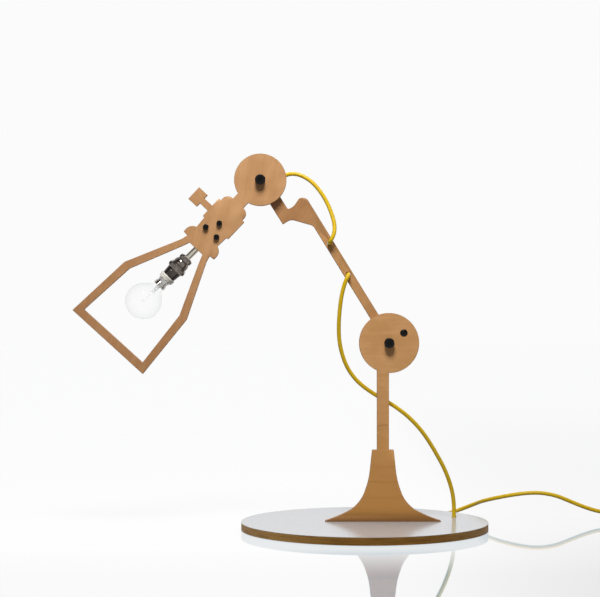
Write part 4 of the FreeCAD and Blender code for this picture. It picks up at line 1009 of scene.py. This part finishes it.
def filament():
    """Two lead wires, two hooks and a finely coiled filament that hangs in a zigzag."""
    curve = bpy.data.curves.new("filament", "CURVE")
    curve.dimensions = "3D"
    curve.bevel_depth = WIRE
    curve.bevel_resolution = 1
    knots = [
        (-7.0, 0.0, HANG),
        (-3.5, 2.0, HANG + 2.0),
        (0.0, -2.0, HANG),
        (3.5, 2.0, HANG + 2.0),
        (7.0, 0.0, HANG),
    ]

    def line(points, radius):
        spline = curve.splines.new("POLY")
        spline.points.add(len(points) - 1)
        for control, point in zip(spline.points, points):
            control.co = (*(HOLDER_FRAME @ (Vector(point) * MM)), 1.0)
            control.radius = radius

    line([(-1.1, 0.0, STEM_TIP - 6.0), (-1.3, 0.0, STEM_TIP + 1.0), knots[0]], 1.6)
    line([(1.1, 0.0, STEM_TIP - 6.0), (1.3, 0.0, STEM_TIP + 1.0), knots[-1]], 1.6)
    line([(0.0, 0.0, STEM_TIP), (-3.5, 2.0, HANG + 2.1)], 0.9)
    line([(0.0, 0.0, STEM_TIP), (3.5, 2.0, HANG + 2.1)], 0.9)
    coil = []
    for here, there in zip(knots, knots[1:]):
        here, there = Vector(here), Vector(there)
        for n in range(POINTS_PER_SPAN):
            t = n / POINTS_PER_SPAN
            turn = 2 * math.pi * WINDINGS * t
            coil.append(here.lerp(there, t) + Vector((0, math.cos(turn), math.sin(turn))) * WINDING_RADIUS)
    line(coil, 0.7)
    holder = new_object("wire", curve)
    mesh = bpy.data.meshes.new_from_object(holder)
    bpy.data.objects.remove(holder)
    return mesh


stand_in("bulb_filament_wire", filament(), "bulb_filament")


# Black socket screws, with knurled heads and rounded rims

def socket_screw(head, tall, shank, long, flats, deep):
    """The profile and knurl of a socket head screw, from its head's outer face."""
    half = flats / 2
    profile = [(0.0, deep), (half, deep, 6), (half, 0.3, 6), (half + 0.35, 0.0, 6), (head - 1.15, 0.0)]
    profile += [(head - 0.7, 0.08), (head - 0.32, 0.28), (head - 0.1, 0.62), (head, 1.0), (head, 1.3)]
    profile += [(head, tall - 0.9), (head, tall - 0.6), (head - 0.12, tall - 0.15), (head - 0.3, tall)]
    profile += [(shank, tall), (shank, long - 0.5), (shank - 0.5, long), (0.0, long)]
    return profile, ((1.2, tall - 0.8, 36, 0.16),)


def dress_screw(node, head, tall, shank, flats, deep, spots):
    front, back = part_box(node)[0][1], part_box(node)[1][1]
    profile, knurls = socket_screw(head, tall, shank, (back - front) / MM, flats, deep)
    frames = [facing((x, front, z), (0, 1, 0)) for x, z in spots]
    name = node + "_turned"
    stand_in(name, lathed(name, profile, 144, knurls, 35, frames), node)


def centre_of(node):
    low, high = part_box(node)
    return (low[0] + high[0]) / 2, (low[2] + high[2]) / 2


PIVOT_BOLT = (6.2, 8.0, 4.0, 6.0, 4.0)
STOP_SCREW = (4.25, 5.0, 2.5, 4.0, 2.5)
BLOCK_SCREW = (3.5, 4.0, 2.0, 3.0, 2.0)
BLOCK_SCREW_PLACES = ((72.7, 0), (87.2, 8.9), (87.2, -8.9))

dress_screw("upper_bolt", *PIVOT_BOLT, [centre_of("upper_bolt")])
dress_screw("lower_bolt", *PIVOT_BOLT, [centre_of("lower_bolt")])
dress_screw("stop_screw", *STOP_SCREW, [centre_of("stop_screw")])
block_spots = [turned(UPPER_PIVOT, HEAD_ANGLE, along, across, 0) for along, across in BLOCK_SCREW_PLACES]
dress_screw("block_screws", *BLOCK_SCREW, [(spot.x, spot.z) for spot in block_spots])

# Floor, backdrop and lamp

LAMP = Vector((-0.09, -0.76, 1.45))
LAMP_AIM = (-0.05, 0.0, 0.25)
LAMP_SIZE, LAMP_POWER = 0.55, 24.5
LAMP_COLOUR = (1.0, 0.985, 0.955)
FLOOR_SIZE, FLOOR_DROP = 9.0, 0.0002
FLOOR_GLOW = 0.955
FLOOR_BASE = 0.92
FLOOR_SHADE = 0.13
# Painted shade in the floor's front right corner
CORNER_SHADE = 0.20
MIRROR = (1.0, 0.765, 0.635)
BACK_LIGHT = (0.887, 0.887, 0.900)


def lamp_pool(p, x, y):
    """How much of the lamp's light each spot of the floor gets, 1 right under it."""
    away = p.math("POWER", p.math("SUBTRACT", x, LAMP.x), 2.0)
    away = p.math("ADD", away, p.math("POWER", p.math("SUBTRACT", y, LAMP.y), 2.0))
    spread = p.math("ADD", 1.0, p.math("DIVIDE", away, LAMP.z**2))
    return p.math("DIVIDE", 1.0, p.math("POWER", spread, 1.5))


def painted_corner_shade(p, x, y):
    """Painted shade: a slightly darker front right corner of the floor."""
    front = p.math("ADD", p.fit(y, 0.15, -0.55, 0.0, 0.8), p.fit(y, 3.0, 0.5, 0.0, 0.2))
    corner = p.math("MULTIPLY", p.fit(x, -0.05, 0.35), front)
    return p.math("MULTIPLY", corner, p.math("MULTIPLY", p.fit(y, -0.85, -0.53), p.fit(x, 1.8, 0.8)))


def mirror_share(p, x, y, is_camera):
    """How strongly the camera sees the floor's mirror image: more at a glance and nearer to the front."""
    glance = p.node("Fresnel", {"IOR": 1.5}).outputs[0]
    nearer = p.fit(y, -0.17, -0.48, 0.55, 3.4, smooth=False)
    nearer = p.math("MAXIMUM", nearer, p.fit(x, 0.09, 0.17, 0.0, 1.25))
    nearer = p.math("MULTIPLY", nearer, p.fit(y, -0.90, -0.56, 0.15, 1.0))
    return p.math("MULTIPLY", p.math("MULTIPLY", glance, nearer), is_camera, clamp=True)


def floor_finish():
    """Mostly even white with a faint shadow, and a pale mirror image that grows to the front."""
    p = Paint("floor")
    x, y, _ = p.split(p.place())
    corner = painted_corner_shade(p, x, y)
    glow = p.math("SUBTRACT", FLOOR_BASE, p.math("MULTIPLY", lamp_pool(p, x, y), FLOOR_SHADE))
    # Painted shade dims the floor's glow and its mirror image in the front right corner
    shade = p.math("MULTIPLY", corner, CORNER_SHADE)
    glow = p.math("SUBTRACT", glow, shade)
    even = p.node("Emission", {"Color": (1.0, 1.0, 1.004, 1.0), "Strength": glow})
    lit = p.node("BsdfDiffuse", {"Color": (0.15, 0.15, 0.152, 1.0)})
    body = p.node("AddShader", {0: even.outputs[0], 1: lit.outputs[0]})
    image = p.node("BsdfGlossy", {"Color": p.mix(shade, MIRROR, (0, 0, 0)), "Roughness": 0.03})
    rest = tuple(FLOOR_GLOW - m * light for m, light in zip(MIRROR, BACK_LIGHT))
    level = p.node("Emission", {"Color": (*rest, 1.0), "Strength": p.math("SUBTRACT", 1.0, shade)})
    mirror = p.node("AddShader", {0: image.outputs[0], 1: level.outputs[0]})
    path = p.node("LightPath").outputs
    share = mirror_share(p, x, y, path["Is Camera Ray"])
    seen = p.node("MixShader", {0: share, 1: body.outputs[0], 2: mirror.outputs[0]})
    bounce = p.node("BsdfDiffuse", {"Color": (0.22, 0.22, 0.222, 1.0)})
    direct = p.math("MAXIMUM", path["Is Camera Ray"], path["Is Glossy Ray"])
    direct = p.math("MAXIMUM", direct, path["Is Transmission Ray"])
    whole = p.node("MixShader", {0: direct, 1: bounce.outputs[0], 2: seen.outputs[0]})
    p.feed(p.output.inputs["Surface"], whole.outputs[0])
    return p.material


def make_floor():
    bm = bmesh.new()
    bmesh.ops.create_grid(bm, x_segments=8, y_segments=8, size=FLOOR_SIZE)
    mesh = bpy.data.meshes.new("floor")
    bm.to_mesh(mesh)
    bm.free()
    floor = new_object("floor", mesh)
    floor.location = (0, 0, -FLOOR_DROP)
    mesh.materials.append(floor_finish())


def make_world():
    """White behind the object and a dim studio in front, so metal and gloss have something to show.

    Near the horizon it is white all round for reflections, so the floor's mirror image has no dark side.
    """
    backdrop = bpy.data.worlds.new("backdrop")
    scene.world = backdrop
    backdrop.use_nodes = True
    w = Nodes(backdrop.node_tree)
    _, y, z = w.split(w.place("Generated"))
    path = w.node("LightPath").outputs
    room = w.fit(y, -0.15, 0.50, 0.05, 0.90)
    low = w.math("MULTIPLY", w.fit(z, 0.45, 0.68, 0.90, 0.0), path["Is Glossy Ray"])
    strength = w.math("MAXIMUM", room, low)
    lighting = w.node("Background", {"Color": (0.985, 0.985, 1.0, 1.0), "Strength": strength})
    seen = w.node("Background", {"Color": (0.965, 0.965, 0.965, 1.0)})
    direct = w.math("MAXIMUM", path["Is Camera Ray"], path["Is Transmission Ray"])
    whole = w.node("MixShader", {0: direct, 1: lighting.outputs[0], 2: seen.outputs[0]})
    w.node("OutputWorld", {"Surface": whole.outputs[0]})


def make_lamp():
    data = bpy.data.lights.new("key", "AREA")
    data.shape = "DISK"
    data.size = LAMP_SIZE
    data.energy = LAMP_POWER
    data.color = LAMP_COLOUR
    lamp = new_object("key", data)
    lamp.location = LAMP
    lamp.rotation_euler = (Vector(LAMP_AIM) - LAMP).to_track_quat("-Z", "Y").to_euler()


make_floor()
make_world()
make_lamp()
